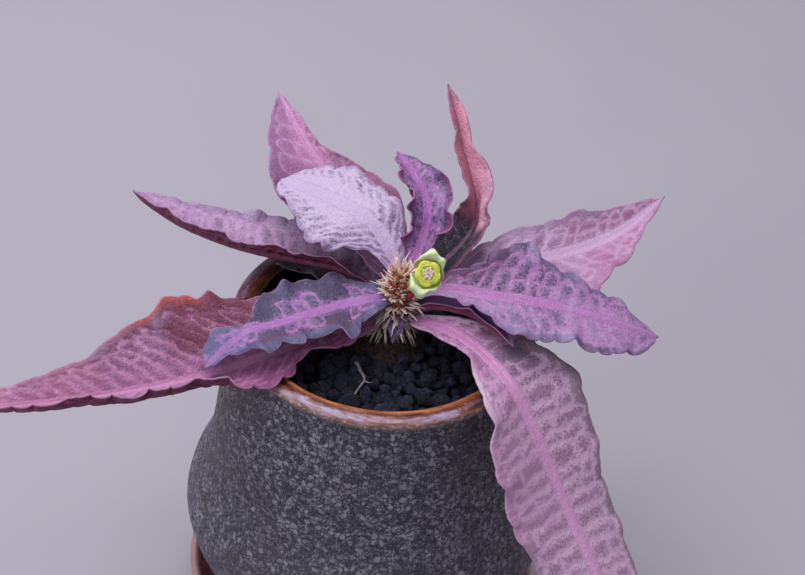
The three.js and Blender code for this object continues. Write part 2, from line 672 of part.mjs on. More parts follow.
// Grains on a sunflower spiral with random size, turn and place, so that they cover the bed.
function grains() {
  const random = seededRandom(5);
  const goldenTurn = Math.PI * (3 - Math.sqrt(5));
  const solids = [];
  for (let index = 0; index < GRAIN_COUNT; index += 1) {
    const size = between(GRAIN_RADIUS, random());
    const radius = GRAIN_REACH * Math.sqrt((index + 0.5) / GRAIN_COUNT);
    const turn = index * goldenTurn + 0.25 * random();
    const geometry = new THREE.IcosahedronGeometry(size, 0);
    geometry.scale(0.85 + 0.3 * random(), 0.85 + 0.3 * random(), 0.7 + 0.3 * random());
    geometry.rotateX(Math.PI * random());
    geometry.rotateZ(Math.PI * random());
    geometry.translate(radius * Math.cos(turn), radius * Math.sin(turn), SOIL_TOP + 0.9 * random());
    solids.push(toSolid(geometry));
  }
  return solids;
}

// Rootlet: lies on the grains in front of the caudex

const ROOTLET_POINTS = [
  [-5.2, -10.8, RIM_HEIGHT - 3.4],
  [-4.2, -12.8, RIM_HEIGHT - 3.3],
  [-3.2, -15.4, RIM_HEIGHT - 3.3],
  [-3.8, -18.6, RIM_HEIGHT - 3.5],
  [-5.4, -21.6, RIM_HEIGHT - 3.8],
];
const ROOTLET_RADIUS = 0.42;

// Assembly

const stemClearance = stemBody(GAP);
const stalk = toSolid(tube(STALK_POINTS, STALK_RADIUS, 8, 8));
const stalkClearance = toSolid(tube(STALK_POINTS, STALK_RADIUS + GAP, 8, 8));
const swollenLeaves = joinAll(Object.values(LEAVES).map((leaf) => bladeSolid(leaf, GAP)));

addPart("saucer", lathe(SAUCER_PROFILE, ROUND_SIDES), 0x6d3325, 0.3);
addPart("pot", lathe(POT_PROFILE, ROUND_SIDES), 0x55545e, 0.75);

const rootletClearance = toSolid(tube(ROOTLET_POINTS, ROOTLET_RADIUS + GAP, 6, 10));
const soil = joinAll([soilBed(), ...grains()]).subtract(stemClearance).subtract(rootletClearance);
addPart("soil", toGeometry(largestBody(soil)), 0x23252e, 0.95);
addPart("rootlet", tube(ROOTLET_POINTS, ROOTLET_RADIUS, 6, 10), 0xb09a86, 0.9);

const spiny = joinAll(spines()).subtract(swollenLeaves).subtract(stalkClearance);
const stem = stemBody(0).add(spiny);
addPart("stem", toGeometry(largestBody(stem)), 0x7a5a44, 0.85);

for (const [name, leaf] of Object.entries(LEAVES)) {
  addPart(name, toGeometry(largestBody(bladeSolid(leaf).subtract(stemClearance))), leaf.colour, 0.5);
}

const bracts = joinAll([stalk, ...BRACTS.map(bractSolid)]);
const openBracts = bracts.subtract(cupSolid(GAP)).subtract(stemClearance);
addPart("flower_bracts", toGeometry(largestBody(openBracts)), 0xb4cf9a, 0.5);
addPart("flower_cup", toGeometry(cupSolid(0)), 0xc9c43a, 0.45);

export default group;
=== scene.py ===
"""Looks of the potted Euphorbia francoisii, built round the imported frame.

Sizes are in millimetres unless a name says otherwise, and every mesh is scaled to metres when it is made.
+Z is up, X runs to the right and Y runs away from the viewer. Leaf places are measured from the centre
of the lip's top, as in the part's source. Colours are linear.
"""
import math

import bmesh
import bpy
import numpy as np
from mathutils import Matrix, Vector


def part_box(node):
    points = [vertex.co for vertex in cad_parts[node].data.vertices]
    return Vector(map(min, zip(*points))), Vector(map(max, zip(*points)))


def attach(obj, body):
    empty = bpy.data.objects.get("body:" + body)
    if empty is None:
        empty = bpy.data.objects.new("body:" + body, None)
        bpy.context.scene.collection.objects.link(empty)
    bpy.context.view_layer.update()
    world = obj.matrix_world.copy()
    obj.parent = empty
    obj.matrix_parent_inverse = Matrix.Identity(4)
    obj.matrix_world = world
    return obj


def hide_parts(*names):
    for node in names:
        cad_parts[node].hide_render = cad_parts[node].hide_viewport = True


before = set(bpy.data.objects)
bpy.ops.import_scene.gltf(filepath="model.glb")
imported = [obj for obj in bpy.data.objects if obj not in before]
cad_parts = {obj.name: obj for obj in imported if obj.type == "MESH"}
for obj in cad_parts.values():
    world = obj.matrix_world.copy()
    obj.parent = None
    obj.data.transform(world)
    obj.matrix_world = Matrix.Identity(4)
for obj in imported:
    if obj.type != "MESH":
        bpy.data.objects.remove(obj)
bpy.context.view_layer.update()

MM = 0.001
RIM_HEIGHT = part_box("pot")[1].z / MM
FLOOR_REACH = 3600
GOLDEN_TURN = math.pi * (3 - math.sqrt(5))

PALE_LILAC = (0.66, 0.53, 0.74)
PALE_PINK = (0.50, 0.25, 0.42)
ORCHID = (0.46, 0.13, 0.42)
MAROON = (0.13, 0.018, 0.045)
CRIMSON = (0.21, 0.035, 0.10)
PLUM = (0.055, 0.015, 0.065)


def linked(name, data):
    thing = bpy.data.objects.new(name, data)
    bpy.context.scene.collection.objects.link(thing)
    return thing


# Camera

CAMERA_ELEVATION = 40
CAMERA_DISTANCE = 480
CAMERA_ROLL = 5.5
SENSOR_WIDTH = 36
FOCAL_PIXELS = 2215
FRAME_PIXELS = (805, 575)
RIM_CENTRE_PIXEL = (384.3, 320.8)   # where the middle of the pot's lip lies in the photograph


def add_camera():
    elevation = math.radians(CAMERA_ELEVATION)
    roll = math.radians(CAMERA_ROLL)
    back = Vector((0, -math.cos(elevation), math.sin(elevation)))
    level_right = Vector((1, 0, 0))
    level_up = level_right.cross(-back)
    right = level_right * math.cos(roll) + level_up * math.sin(roll)
    up = level_up * math.cos(roll) - level_right * math.sin(roll)
    aim = (-back
           + right * (FRAME_PIXELS[0] / 2 - RIM_CENTRE_PIXEL[0]) / FOCAL_PIXELS
           - up * (FRAME_PIXELS[1] / 2 - RIM_CENTRE_PIXEL[1]) / FOCAL_PIXELS).normalized()
    side = aim.cross(up).normalized()
    camera = linked("camera", bpy.data.cameras.new("camera"))
    camera.data.sensor_width = SENSOR_WIDTH
    camera.data.lens = SENSOR_WIDTH * FOCAL_PIXELS / FRAME_PIXELS[0]
    camera.data.clip_start = 0.01
    camera.data.clip_end = 20
    camera.location = (back * CAMERA_DISTANCE + Vector((0, 0, RIM_HEIGHT))) * MM
    camera.rotation_mode = "QUATERNION"
    camera.rotation_quaternion = Matrix((side, side.cross(aim), -aim)).transposed().to_quaternion()
    bpy.context.scene.camera = camera


# Light: an even overcast sky, a broad soft light overhead and a weak one in front

SKY_COLOUR = (0.93, 0.92, 1.0, 1)
SKY_STRENGTH = 0.34
LAMP_TARGET = (0, 0, 60)
LAMPS = {   # each one's place, width, watts and colour
    "soft_top": ((-120, 160, 620), 520, 3.4, (1.0, 0.985, 1.0)),
    "soft_front": ((-420, -420, 380), 420, 1.0, (0.95, 0.96, 1.0)),
}


def add_light():
    world = bpy.data.worlds.new("sky")
    world.use_nodes = True
    background = world.node_tree.nodes["Background"]
    background.inputs["Color"].default_value = SKY_COLOUR
    background.inputs["Strength"].default_value = SKY_STRENGTH
    bpy.context.scene.world = world
    bpy.context.scene.view_settings.view_transform = "Standard"
    for name, (place, width, watts, colour) in LAMPS.items():
        lamp = linked(name, bpy.data.lights.new(name, "AREA"))
        lamp.data.size = width * MM
        lamp.data.energy = watts
        lamp.data.color = colour
        lamp.location = Vector(place) * MM
        lamp.rotation_euler = (Vector(LAMP_TARGET) - Vector(place)).to_track_quat("-Z", "Y").to_euler()


# Shader graphs

class Value:
    """An output of a node, on which +, - and * work as on a number."""

    def __init__(self, graph, socket):
        self.graph = graph
        self.socket = socket

    def __add__(self, other):
        return self.graph.math("ADD", self, other)

    def __sub__(self, other):
        return self.graph.math("SUBTRACT", self, other)

    def __mul__(self, other):
        return self.graph.math("MULTIPLY", self, other)


class Graph:
    """A material with a Principled shader, and short ways to add nodes. Places are in millimetres."""

    def __init__(self, name, roughness=0.5, specular=0.5, **settings):
        self.material = bpy.data.materials.new(name)
        self.material.use_nodes = True
        self.tree = self.material.node_tree
        self.tree.nodes.clear()
        output = self.tree.nodes.new("ShaderNodeOutputMaterial")
        self.shader = self.tree.nodes.new("ShaderNodeBsdfPrincipled")
        self.tree.links.new(self.shader.outputs[0], output.inputs["Surface"])
        self.shader.inputs["Roughness"].default_value = roughness
        self.shader.inputs["Specular IOR Level"].default_value = specular
        for label, value in settings.items():
            self.shader.inputs[label.replace("_", " ")].default_value = value
        self.place = self.scaled(self.add("TexCoord", "Object"), 1 / MM)

    def feed(self, socket, value):
        if isinstance(value, Value):
            self.tree.links.new(value.socket, socket)
        elif socket.type == "RGBA":
            socket.default_value = (*value, 1)
        else:
            socket.default_value = value

    def add(self, kind, output, inputs=(), **settings):
        """The output of a new node. inputs maps its sockets' names or numbers to what feeds them."""
        node = self.tree.nodes.new("ShaderNode" + kind)
        for label, setting in settings.items():
            setattr(node, label, setting)
        for label, value in dict(inputs).items():
            self.feed(node.inputs[label], value)
        return Value(self, node.outputs[output])

    def math(self, operation, *values):
        return self.add("Math", 0, enumerate(values), operation=operation)

    def scaled(self, vector, factor):
        factors = factor if isinstance(factor, tuple) else (factor,) * 3
        return self.add("VectorMath", 0, {0: vector, 1: factors}, operation="MULTIPLY")

    def moved(self, vector, shift):
        return self.add("VectorMath", 0, {0: vector, 1: shift}, operation="ADD")

    def part(self, axis):
        return self.add("SeparateXYZ", axis, {"Vector": self.place})

    def step(self, value, low, high, to_low=0.0, to_high=1.0):
        """A smooth step from to_low where value is at low to to_high where it is at high."""
        return self.add("MapRange", 0, enumerate((value, low, high, to_low, to_high)),
                        interpolation_type="SMOOTHSTEP")

    def mix(self, share, first, second, blend="MIX"):
        return self.add("Mix", 2, {0: share, 6: first, 7: second}, data_type="RGBA", blend_type=blend)

    def dimmed(self, colour, filter_colour):
        return self.mix(1.0, colour, filter_colour, "MULTIPLY")

    def paint(self, colour, tint, value, low, high, share=1.0):
        """Lays tint over colour, from none of it where value is at low to this share of it at high."""
        return self.mix(self.step(value, low, high, 0.0, share), colour, tint)

    def noise(self, scale, detail=3, roughness=0.6, vector=None):
        return self.add("TexNoise", "Fac", {"Vector": vector or self.place, "Scale": scale,
                                            "Detail": detail, "Roughness": roughness})

    def wander(self, size, scale, detail=3, roughness=0.6, vector=None):
        """Noise about 0, which reaches half of size to either side."""
        return self.math("MULTIPLY_ADD", self.noise(scale, detail, roughness, vector), size, -size / 2)

    def bent(self, vector, scale, size, detail=2.0):
        """The vector, moved by noise of up to about size in each direction."""
        colour = self.add("TexNoise", "Color", {"Vector": vector, "Scale": scale, "Detail": detail})
        return self.moved(vector, self.scaled(self.moved(colour, (-0.5, -0.5, -0.5)), 2 * size))

    def cells(self, scale, vector, feature="F1", output="Distance"):
        return self.add("TexVoronoi", output, {"Vector": vector, "Scale": scale}, feature=feature)

    def field(self, name):
        return self.add("Attribute", "Fac", attribute_name=name)

    def flat(self):
        """A leaf's own plane, with the length along it as X and the distance from its rib as Y."""
        return self.add("CombineXYZ", 0, {"X": self.field("flat_a"), "Y": self.field("flat_b")})

    def finish(self, colour, height=None, depth=0.1, roughness=None):
        """depth is the height in millimetres that a step of 1 in height stands for."""
        self.feed(self.shader.inputs["Base Color"], colour)
        if roughness is not None:
            self.feed(self.shader.inputs["Roughness"], roughness)
        if height is not None:
            bump = self.add("Bump", 0, {"Distance": depth * MM, "Height": height})
            self.feed(self.shader.inputs["Normal"], bump)
        return self.material


# Meshes

class Sheet:
    """Gathers vertices in millimetres, faces, a material number for each face, and fields."""

    def __init__(self, fields=()):
        self.points = []
        self.faces = []
        self.slots = []
        self.fields = {name: [] for name in fields}
        self.count = 0

    def add(self, points, faces, slots=0, **fields):
        """faces is a list of arrays, and slots gives one material number, or one for each array."""
        points = np.asarray(points, float).reshape(-1, 3)
        self.points.append(points)
        for name, values in self.fields.items():
            values.append(np.broadcast_to(np.asarray(fields.get(name, 0.0), float), (len(points),)))
        for group, slot in zip(faces, np.broadcast_to(slots, len(faces))):
            self.faces.append(np.asarray(group) + self.count)
            self.slots.append(np.full(len(group), slot))
        self.count += len(points)

    def piece(self, name, node, materials):
        points = np.concatenate(self.points) * MM
        loops = np.concatenate([group.ravel() for group in self.faces])
        sizes = np.concatenate([np.full(len(group), group.shape[1]) for group in self.faces])
        starts = np.concatenate([[0], np.cumsum(sizes)[:-1]])
        mesh = bpy.data.meshes.new(name)
        mesh.vertices.add(len(points))
        mesh.vertices.foreach_set("co", points.astype(np.float32).ravel())
        mesh.loops.add(len(loops))
        mesh.loops.foreach_set("vertex_index", loops.astype(np.int32))
        mesh.polygons.add(len(sizes))
        mesh.polygons.foreach_set("loop_start", starts.astype(np.int32))
        mesh.polygons.foreach_set("use_smooth", np.ones(len(sizes), bool))
        mesh.polygons.foreach_set("material_index", np.concatenate(self.slots).astype(np.int32))
        for label, values in self.fields.items():
            attribute = mesh.attributes.new(label, "FLOAT", "POINT")
            attribute.data.foreach_set("value", np.concatenate(values).astype(np.float32))
        mesh.update(calc_edges=True)
        mesh.validate()
        for material in materials:
            mesh.materials.append(material)
        thing = linked(name, mesh)
        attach(thing, "root")
        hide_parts(node)


def grid_faces(rows, columns, closed=False, flipped=False, start=0):
    """Quads of a grid of rows by columns of points. closed joins the last column to the first."""
    row, column = np.meshgrid(np.arange(rows - 1), np.arange(columns if closed else columns - 1),
                              indexing="ij")
    after = (column + 1) % columns
    corners = [row * columns + column, (row + 1) * columns + column,
               (row + 1) * columns + after, row * columns + after]
    if flipped:
        corners.reverse()
    return np.stack([corner.ravel() for corner in corners], -1) + start


def slab(upper, lower):
    """Points of a closed slab between two grids of points, and faces of its top, bottom and walls."""
    rows, columns = upper.shape[:2]
    count = rows * columns
    row = np.arange(rows - 1) * columns
    column = np.arange(columns - 1)
    end = columns - 1
    tip = (rows - 1) * columns
    walls = np.concatenate([
        np.stack([row + count, row + columns + count, row + columns, row], -1),
        np.stack([row + end, row + end + columns, row + end + columns + count, row + end + count], -1),
        np.stack([column + count, column, column + 1, column + 1 + count], -1),
        np.stack([tip + column, tip + column + count, tip + column + 1 + count, tip + column + 1], -1)])
    points = np.concatenate([upper.reshape(-1, 3), lower.reshape(-1, 3)])
    return points, [grid_faces(rows, columns), grid_faces(rows, columns, flipped=True, start=count), walls]


def unit(vectors):
    return vectors / np.linalg.norm(vectors, axis=-1, keepdims=True)


def normals(grid):
    return unit(np.cross(np.gradient(grid, axis=0), np.gradient(grid, axis=1)))


def turns(sides):
    return 2 * np.pi * np.arange(sides) / sides


def walked(points):
    """How far along a line each of its points lies."""
    return np.concatenate([[0], np.cumsum(np.linalg.norm(np.diff(points, axis=0), axis=1))])


def spiral_place(index, count, reach, shift, height):
    """One of count places that are spread evenly over a disc, as seeds are in a sunflower."""
    radius = reach * math.sqrt((index + 0.5) / count)
    turn = index * GOLDEN_TURN + shift
    return np.array([radius * math.cos(turn), radius * math.sin(turn), height])


def spun(points, turn):
    """Points turned round Z."""
    cos, sin = math.cos(turn), math.sin(turn)
    return points @ np.array([[cos, sin, 0], [-sin, cos, 0], [0, 0, 1]])


def ball(levels):
    """Points and triangles of a unit icosphere."""
    sphere = bmesh.new()
    bmesh.ops.create_icosphere(sphere, subdivisions=levels, radius=1)
    points = np.array([vertex.co for vertex in sphere.verts])
    faces = np.array([[vertex.index for vertex in face.verts] for face in sphere.faces])
    sphere.free()
    return points, faces


def seeded_random(seed):
    """The same draws as the part's source makes."""
    state = seed
    word = 0xFFFFFFFF

    def draw():
        nonlocal state
        state = (state + 0x6D2B79F5) & word
        mixed = ((state ^ (state >> 15)) * (state | 1)) & word
        mixed ^= (mixed + (mixed ^ (mixed >> 7)) * (mixed | 61)) & word
        return (mixed ^ (mixed >> 14)) / 4294967296

    return draw


def between(span, share):
    return span[0] + (span[1] - span[0]) * share


def smooth(value, low, high):
    share = np.clip((value - low) / (high - low), 0, 1)
    return share * share * (3 - 2 * share)


def ripple(x, y, seed, octaves=3):
    """Smooth wandering between about -1 and 1, with waves about 1 long in x and y."""
    draws = np.random.RandomState(seed)
    total = 0
    for octave in range(octaves):
        for _ in range(3):
            turn, phase = draws.uniform(0, 2 * np.pi, 2)
            rate = 2 * np.pi * 0.6 * 1.7 ** octave
            total = total + np.sin(rate * (x * np.cos(turn) + y * np.sin(turn)) + phase) / 1.6 ** octave
    return total / 3.2


def lump(points, seed, octaves=3):
    """The same in space, for points of shape (n, 3)."""
    draws = np.random.RandomState(seed)
    total = np.zeros(len(points))
    for octave in range(octaves):
        for _ in range(4):
            way = unit(draws.normal(size=3))
            phase = draws.uniform(0, 2 * np.pi)
            total += np.sin(2 * np.pi * 0.6 * 1.8 ** octave * (points @ way) + phase) / 1.6 ** octave
    return total / 3.6


def spline(stations, along):
    """Catmull-Rom through rows of numbers, evenly spaced from 0 at the first to 1 at the last."""
    table = np.array(stations, float)
    last = len(table) - 1
    ends = np.concatenate([[2 * table[0] - table[1]], table, [2 * table[-1] - table[-2]]])
    place = np.clip(along, 0, 1) * last
    index = np.minimum(place.astype(int), last - 1)
    t = (place - index)[:, None]
    a, b, c, d = (ends[index + shift] for shift in range(4))
    square = (2 * a - 5 * b + 4 * c - d) * t * t
    cube = (3 * b - a - 3 * c + d) * t * t * t
    return 0.5 * (2 * b + (c - a) * t + square + cube)


def curve(points, steps):
    return spline(points, np.linspace(0, 1, steps))


# Leaves
# Each station is [x, y, z, left width, right width, left rise, right rise, left curl, right curl], as in
# the part's source, and a curl of 0 at the end of a row is left out. Lobes are how far they reach on the
# left and on the right, and the length of one. A patch is (from, to) along the leaf, (from, to) across it
# from -1 at the right margin to 1 at the left one, a colour and its share.

# What a leaf has where its own table doesn't say otherwise
PLAIN_LEAF = dict(
    phase=0.2, ruffle=0.6, scallop=0.05, crisp=0.1, cell=0.42, ridge=0.1, relief=0.1, spread=0.1, haze=0.2,
    painted_sheen=0.05, keep=0.5, patches=[],
)

# A leaf's crest is the colour and share of the painted highlight on the crests of its margin's waves.
LEAVES = {
    "leaf_left_low": dict(
        slot="leaf_rose", waves=7, phase=0.1, scallop=0.04, lobes=(0.9, 0.3, 5.4), crisp=0.09, cell=0.37,
        relief=0.14, ridge=0.15, rib=(1.2, 0.6), spacing=3.9, sweep=1.15, loop=0.8, lateral=0.45, gaps=0.05,
        spread=0.2, haze=0.6, net=0.3, painted_sheen=0.06, rib_tint=(0.55, 0.22, 0.42), vein=(0.52, 0.21, 0.41),
        tissue=(0.15, 0.042, 0.105), tissue_far=(0.25, 0.095, 0.2), outer=(0.2, 0.055, 0.11),
        crest=((0.5, 0.36, 0.62), 0.45),
        patches=[
            (0.1, 0.5, -1.1, -0.3, (0.185, 0.028, 0.066), 0.8),
            # An orange-red strip along the right margin: painted light shining through the leaf from behind.
            (0.4, 0.62, -1.1, -0.95, (0.54, 0.085, 0.045), 0.9),
            (0.62, 0.84, -1.1, -0.9, (0.42, 0.22, 0.34), 0.6),
            (0.1, 0.4, 0.1, 1.05, (0.33, 0.07, 0.24), 0.6), (0.45, 1, 0.55, 1.05, (0.44, 0.3, 0.52), 0.5),
            (0.3, 0.75, -0.25, 0.2, (0.5, 0.2, 0.42), 0.45), (0.72, 1, -1, 0.3, (0.5, 0.17, 0.28), 0.45),
        ],
        stations=[
            [1, -1, 2.5, 1.5, 1.5, 0, 10], [-10, -7.5, 2.5, 5, 9, 0, 15], [-17.5, -12.5, 2, 3.5, 12, 0, 18],
            [-24, -17, 1.7, 8, 14.5, -6, 24], [-31, -21.5, 1.2, 10.3, 17, -11, 32, 60],
            [-39, -25.5, 0.7, 9.5, 17.5, 0, 38, 85], [-47.5, -29, 0.3, 9.5, 14, 0, 42, 70],
            [-57, -32.2, -0.3, 8.5, 9, 0, 42, 85], [-67, -35.4, -0.6, 6.5, 5.8, 0, 40, 85],
            [-76.5, -38, -0.6, 4, 3.6, 0, 35, 70], [-84, -39.5, -0.2, 0.4, 0.4, 5, 30, 40],
        ]),
    "leaf_left_mid": dict(
        slot="leaf_slate", waves=5.5, phase=0.3, ruffle=0.5, scallop=0.09, lobes=(1.3, 0.35, 6.4), cell=0.28,
        relief=0.13, ridge=0.25, rib=(1.3, 0.6), spacing=3, sweep=0.2, loop=0.56, lateral=0.62, gaps=0.28,
        spread=0.05, haze=0.35, net=0.35, painted_sheen=0.08, rib_tint=(0.37, 0.13, 0.43), vein=(0.36, 0.125, 0.43),
        tissue=(0.026, 0.024, 0.068), tissue_far=(0.055, 0.05, 0.13), outer=(0.036, 0.034, 0.088),
        crest=((0.1, 0.105, 0.235), 0.5),
        patches=[
            (0, 0.14, -1, 1, (0.1, 0.11, 0.26), 0.6), (0.78, 1, -1, 1, (0.12, 0.125, 0.3), 0.6),
            (0.15, 0.75, 0.75, 1.05, (0.12, 0.13, 0.28), 0.5),
            (0.2, 0.7, 0.4, 0.72, (0.15, 0.03, 0.1), 0.35),
        ],
        stations=[
            [2.5, -1, 8, 1.2, 1.2, 0, 10], [-3.5, -3.7, 8.5, 4, 5, 0, 15], [-9.7, -6.4, 8.4, 8.5, 8, -5, 15],
            [-16.7, -10.7, 8.2, 6, 9, -5, 15], [-22.7, -14.2, 8, 6.5, 8.5, -5, 10],
            [-27.8, -16.8, 7.8, 6.5, 2.4, 0, 10], [-32, -21.2, 6.6, 2.8, 5.2, 0, 5],
            [-36, -27.2, 5, 0.4, 0.4, 0, 0],
        ]),
    "leaf_left_rear": dict(
        slot="leaf_mauve", waves=5, lobes=(0.6, 0.5, 5), rib=(1.2, 0.5), spacing=3, sweep=0.35, loop=0.7,
        lateral=0.55, gaps=0, spread=0.25, haze=0.5, net=0.5, painted_sheen=0.2, rib_tint=(0.52, 0.28, 0.52),
        vein=(0.47, 0.25, 0.48), tissue=(0.18, 0.095, 0.2), tissue_far=(0.3, 0.17, 0.33),
        outer=(0.3, 0.19, 0.37), crest=((0.5, 0.4, 0.6), 0.35),
        patches=[
            (0, 0.22, -1, 1, (0.1, 0.035, 0.1), 0.7), (0.3, 1, 0.35, 1, (0.36, 0.13, 0.27), 0.5),
        ],
        stations=[
            [2.5, 0, 6, 1.2, 1.2, 30, 20], [-8.5, 8.5, 6, 4, 9, 50, 15], [-17.6, 11.5, 5.3, 5, 10.5, 58, 20],
            [-26.6, 13.4, 4.8, 4.5, 10, 60, 20], [-35.6, 15.2, 5.2, 4, 9, 60, 20],
            [-45, 18.2, 6.2, 4.2, 6.5, 60, 20], [-52, 21.7, 7.5, 3, 4.2, 60, 20],
            [-58.5, 26, 9, 0.4, 0.4, 60, 20],
        ]),
    "leaf_left_shaded": dict(
        slot="leaf_dark", waves=3, ruffle=0.5, lobes=(0.2, 0.2, 5), crisp=0.15, ridge=0, rib=(0.7, 0.3),
        spacing=3, sweep=0.3, loop=0.7, lateral=0.25, gaps=0.2, spread=0, net=0.2, painted_sheen=0,
        # These near-black colours are the leaf's own dark purple, darkened further as painted shade under the
        # leaf above it.
        rib_tint=(0.02, 0.008, 0.03), vein=(0.02, 0.008, 0.03), tissue=(0.006, 0.003, 0.01),
        tissue_far=(0.008, 0.004, 0.012), outer=(0.007, 0.004, 0.012), crest=((0.1, 0.07, 0.16), 0.3),
        stations=[
            [2.5, 0, 3, 1.2, 1.2, 0, 10], [-5, 9, 2.4, 3, 3, 0, 10], [-12, 12.3, 2.3, 3.4, 3, 0, 10],
            [-19, 13.5, 2.2, 2.6, 2, 0, 10], [-25, 13.5, 2.2, 0.4, 0.4, 0, 10],
        ]),
    "leaf_rear_left": dict(
        slot="leaf_rose", waves=4, phase=0.6, ruffle=0.8, lobes=(0.5, 0.5, 6), relief=0.09, rib=(1.4, 0.5),
        spacing=5, sweep=0.6, loop=0.8, lateral=0.4, gaps=0.2, haze=0.6, net=0.4, painted_sheen=0.08,
        # The bright pink tissue is partly the leaf's own colour and partly painted light shining through it.
        rib_tint=(0.56, 0.24, 0.48), vein=(0.56, 0.25, 0.49), tissue=(0.42, 0.165, 0.37),
        tissue_far=(0.46, 0.17, 0.37), outer=(0.34, 0.13, 0.31), crest=((0.5, 0.34, 0.55), 0.3),
        patches=[
            (0.5, 1, 0.3, 1, (0.24, 0.09, 0.24), 0.6), (0.2, 0.8, -1.05, -0.5, (0.26, 0.055, 0.14), 0.6),
        ],
        stations=[
            [3, 0.5, 8.5, 1.2, 1.2, 15, 20], [-3, 14, 10.5, 8, 7, 10, 20], [-9, 23.5, 13, 14, 9, 2, 20],
            [-15, 29.5, 15.5, 14.5, 6, 0, 20], [-20.5, 35, 18.5, 11, 3, 5, 20],
            [-25, 42, 21, 5.5, 2, 10, 20], [-29, 49.5, 23, 0.4, 0.4, 15, 20],
        ]),
    "leaf_rear_pale": dict(
        slot="leaf_pale", waves=3.5, phase=0.8, lobes=(0.6, 0.5, 5), crisp=0.12, cell=0.34, rib=(1.7, 1.6),
        spacing=2.5, sweep=0.7, loop=0.86, lateral=0.62, gaps=0, haze=0.35, net=0.7, painted_sheen=0.15, keep=0.85,
        rib_tint=(0.54, 0.42, 0.64), vein=(0.56, 0.45, 0.65), tissue=(0.135, 0.07, 0.19),
        tissue_far=(0.19, 0.12, 0.26), outer=(0.25, 0.175, 0.34), crest=((0.62, 0.52, 0.72), 0.3),
        patches=[
            # The pale lilac-white over most of the blade is partly the leaf's own pale colour and partly
            # painted sky reflection.
            (0.46, 1, -0.5, 0.45, (0.6, 0.49, 0.7), 0.85), (0.32, 0.48, -0.12, 0.3, (0.56, 0.44, 0.66), 0.6),
            (0, 0.34, -1, 1, (0.17, 0.065, 0.25), 0.6),
        ],
        stations=[
            [3, 0, 12, 1.2, 1.2, 0, 20], [-0.8, 6, 16, 5, 4, 0, 20], [-5, 10.4, 18.5, 12, 8.5, -5, 15],
            [-10.8, 14.2, 19.5, 14, 9, -5, 10], [-17.7, 18, 19.5, 8.5, 11, 0, 5],
            [-22.7, 21.2, 18.8, 5, 7.5, 0, 0], [-25.5, 23.2, 18, 1, 1, 0, 0],
        ]),
    "leaf_upright": dict(
        slot="leaf_violet", waves=3.5, phase=0.1, ruffle=1, scallop=0.1, lobes=(0.9, 0.9, 4.2), crisp=0.2,
        cell=0.28, relief=0.11, ridge=0.2, rib=(1.2, 0.6), spacing=3, sweep=0.6, loop=0.6, lateral=0.35,
        gaps=0.2, haze=0.4, net=0.5, rib_tint=(0.38, 0.12, 0.42), vein=(0.36, 0.115, 0.4),
        tissue=(0.05, 0.038, 0.105), tissue_far=(0.08, 0.055, 0.15), outer=(0.052, 0.045, 0.12),
        crest=((0.17, 0.16, 0.36), 0.6),
        patches=[
            (0.15, 0.8, 0.85, 1.05, (0.24, 0.04, 0.15), 0.8),
            (0.1, 0.7, -1.05, -0.88, (0.24, 0.04, 0.15), 0.8),
        ],
        stations=[
            [4, -0.5, 13, 1, 1, 10, 15], [5.7, 4.2, 16, 3.5, 4, 10, 15, 40, 30],
            [6.7, 7.7, 19, 5, 5.5, 10, 15, 70, 60], [6.9, 10.9, 22, 5, 6.5, 10, 15, 70, 40],
            [5.9, 14.5, 24, 6.5, 6, 10, 15, 70], [3.6, 18.6, 25.5, 5, 5.2, 10, 15, 60],
            [-0.6, 26.5, 26, 1, 0.8, 10, 15],
        ]),
    "leaf_rear_tall": dict(
        slot="leaf_rose", waves=4, phase=0.1, ruffle=0.5, lobes=(0.3, 0.3, 4.5), relief=0.08, rib=(0.7, 0.5),
        spacing=4, sweep=0.5, loop=0.8, lateral=0.3, gaps=0.6, net=0.1, painted_sheen=0, rib_tint=(0.2, 0.08, 0.14),
        # Dark navy tissue, darkened to near black as painted shade on the hollow upper face of the lower
        # blade.
        vein=(0.06, 0.045, 0.085), tissue=(0.017, 0.016, 0.034), tissue_far=(0.02, 0.018, 0.036),
        outer=(0.019, 0.017, 0.036), crest=((0.55, 0.3, 0.42), 0.3),
        patches=[
            # The pink up the blade is partly the leaf's own colour and partly painted light shining through
            # it.
            (0.46, 1, -1.05, 1.05, (0.45, 0.145, 0.22), 1), (0.56, 1, -1.05, -0.1, (0.68, 0.29, 0.42), 0.85),
            (0.42, 0.58, -1.05, -0.4, (0.84, 0.45, 0.64), 0.95),
            (0.1, 0.5, -1.05, -0.85, (0.26, 0.05, 0.12), 0.85),
        ],
        stations=[
            [4.4, 0.6, 7.4, 1.1, 1.1, 20, 20], [11.5, 11.2, 8.4, 4, 4.5, 25, 25],
            [16.7, 20.4, 9.5, 6, 5, 40, 40], [18, 26.2, 12, 6, 4, 55, 50], [16.6, 31, 16, 4.4, 5.4, 50, 50],
            [14, 38.2, 20, 3.6, 3, 50, 50], [11.8, 45, 24, 2.6, 2.6, 50, 50],
            [9.3, 52.5, 27.5, 0.4, 0.4, 50, 50],
        ]),
    "leaf_right_rear": dict(
        slot="leaf_mauve", waves=4, phase=0.5, ruffle=0.7, lobes=(0.4, 0.5, 6), relief=0.08, rib=(2.2, 1),
        spacing=4.5, sweep=0.7, loop=0.8, lateral=0.45, gaps=0.1, spread=0.3, haze=0.8, net=0.4, painted_sheen=0.2,
        rib_tint=(0.56, 0.34, 0.56), vein=(0.55, 0.33, 0.55), tissue=(0.25, 0.125, 0.28),
        tissue_far=(0.33, 0.14, 0.31), outer=(0.33, 0.19, 0.39), crest=((0.62, 0.42, 0.62), 0.3),
        patches=[
            (0.25, 0.75, -1.05, -0.25, (0.45, 0.21, 0.43), 0.5),
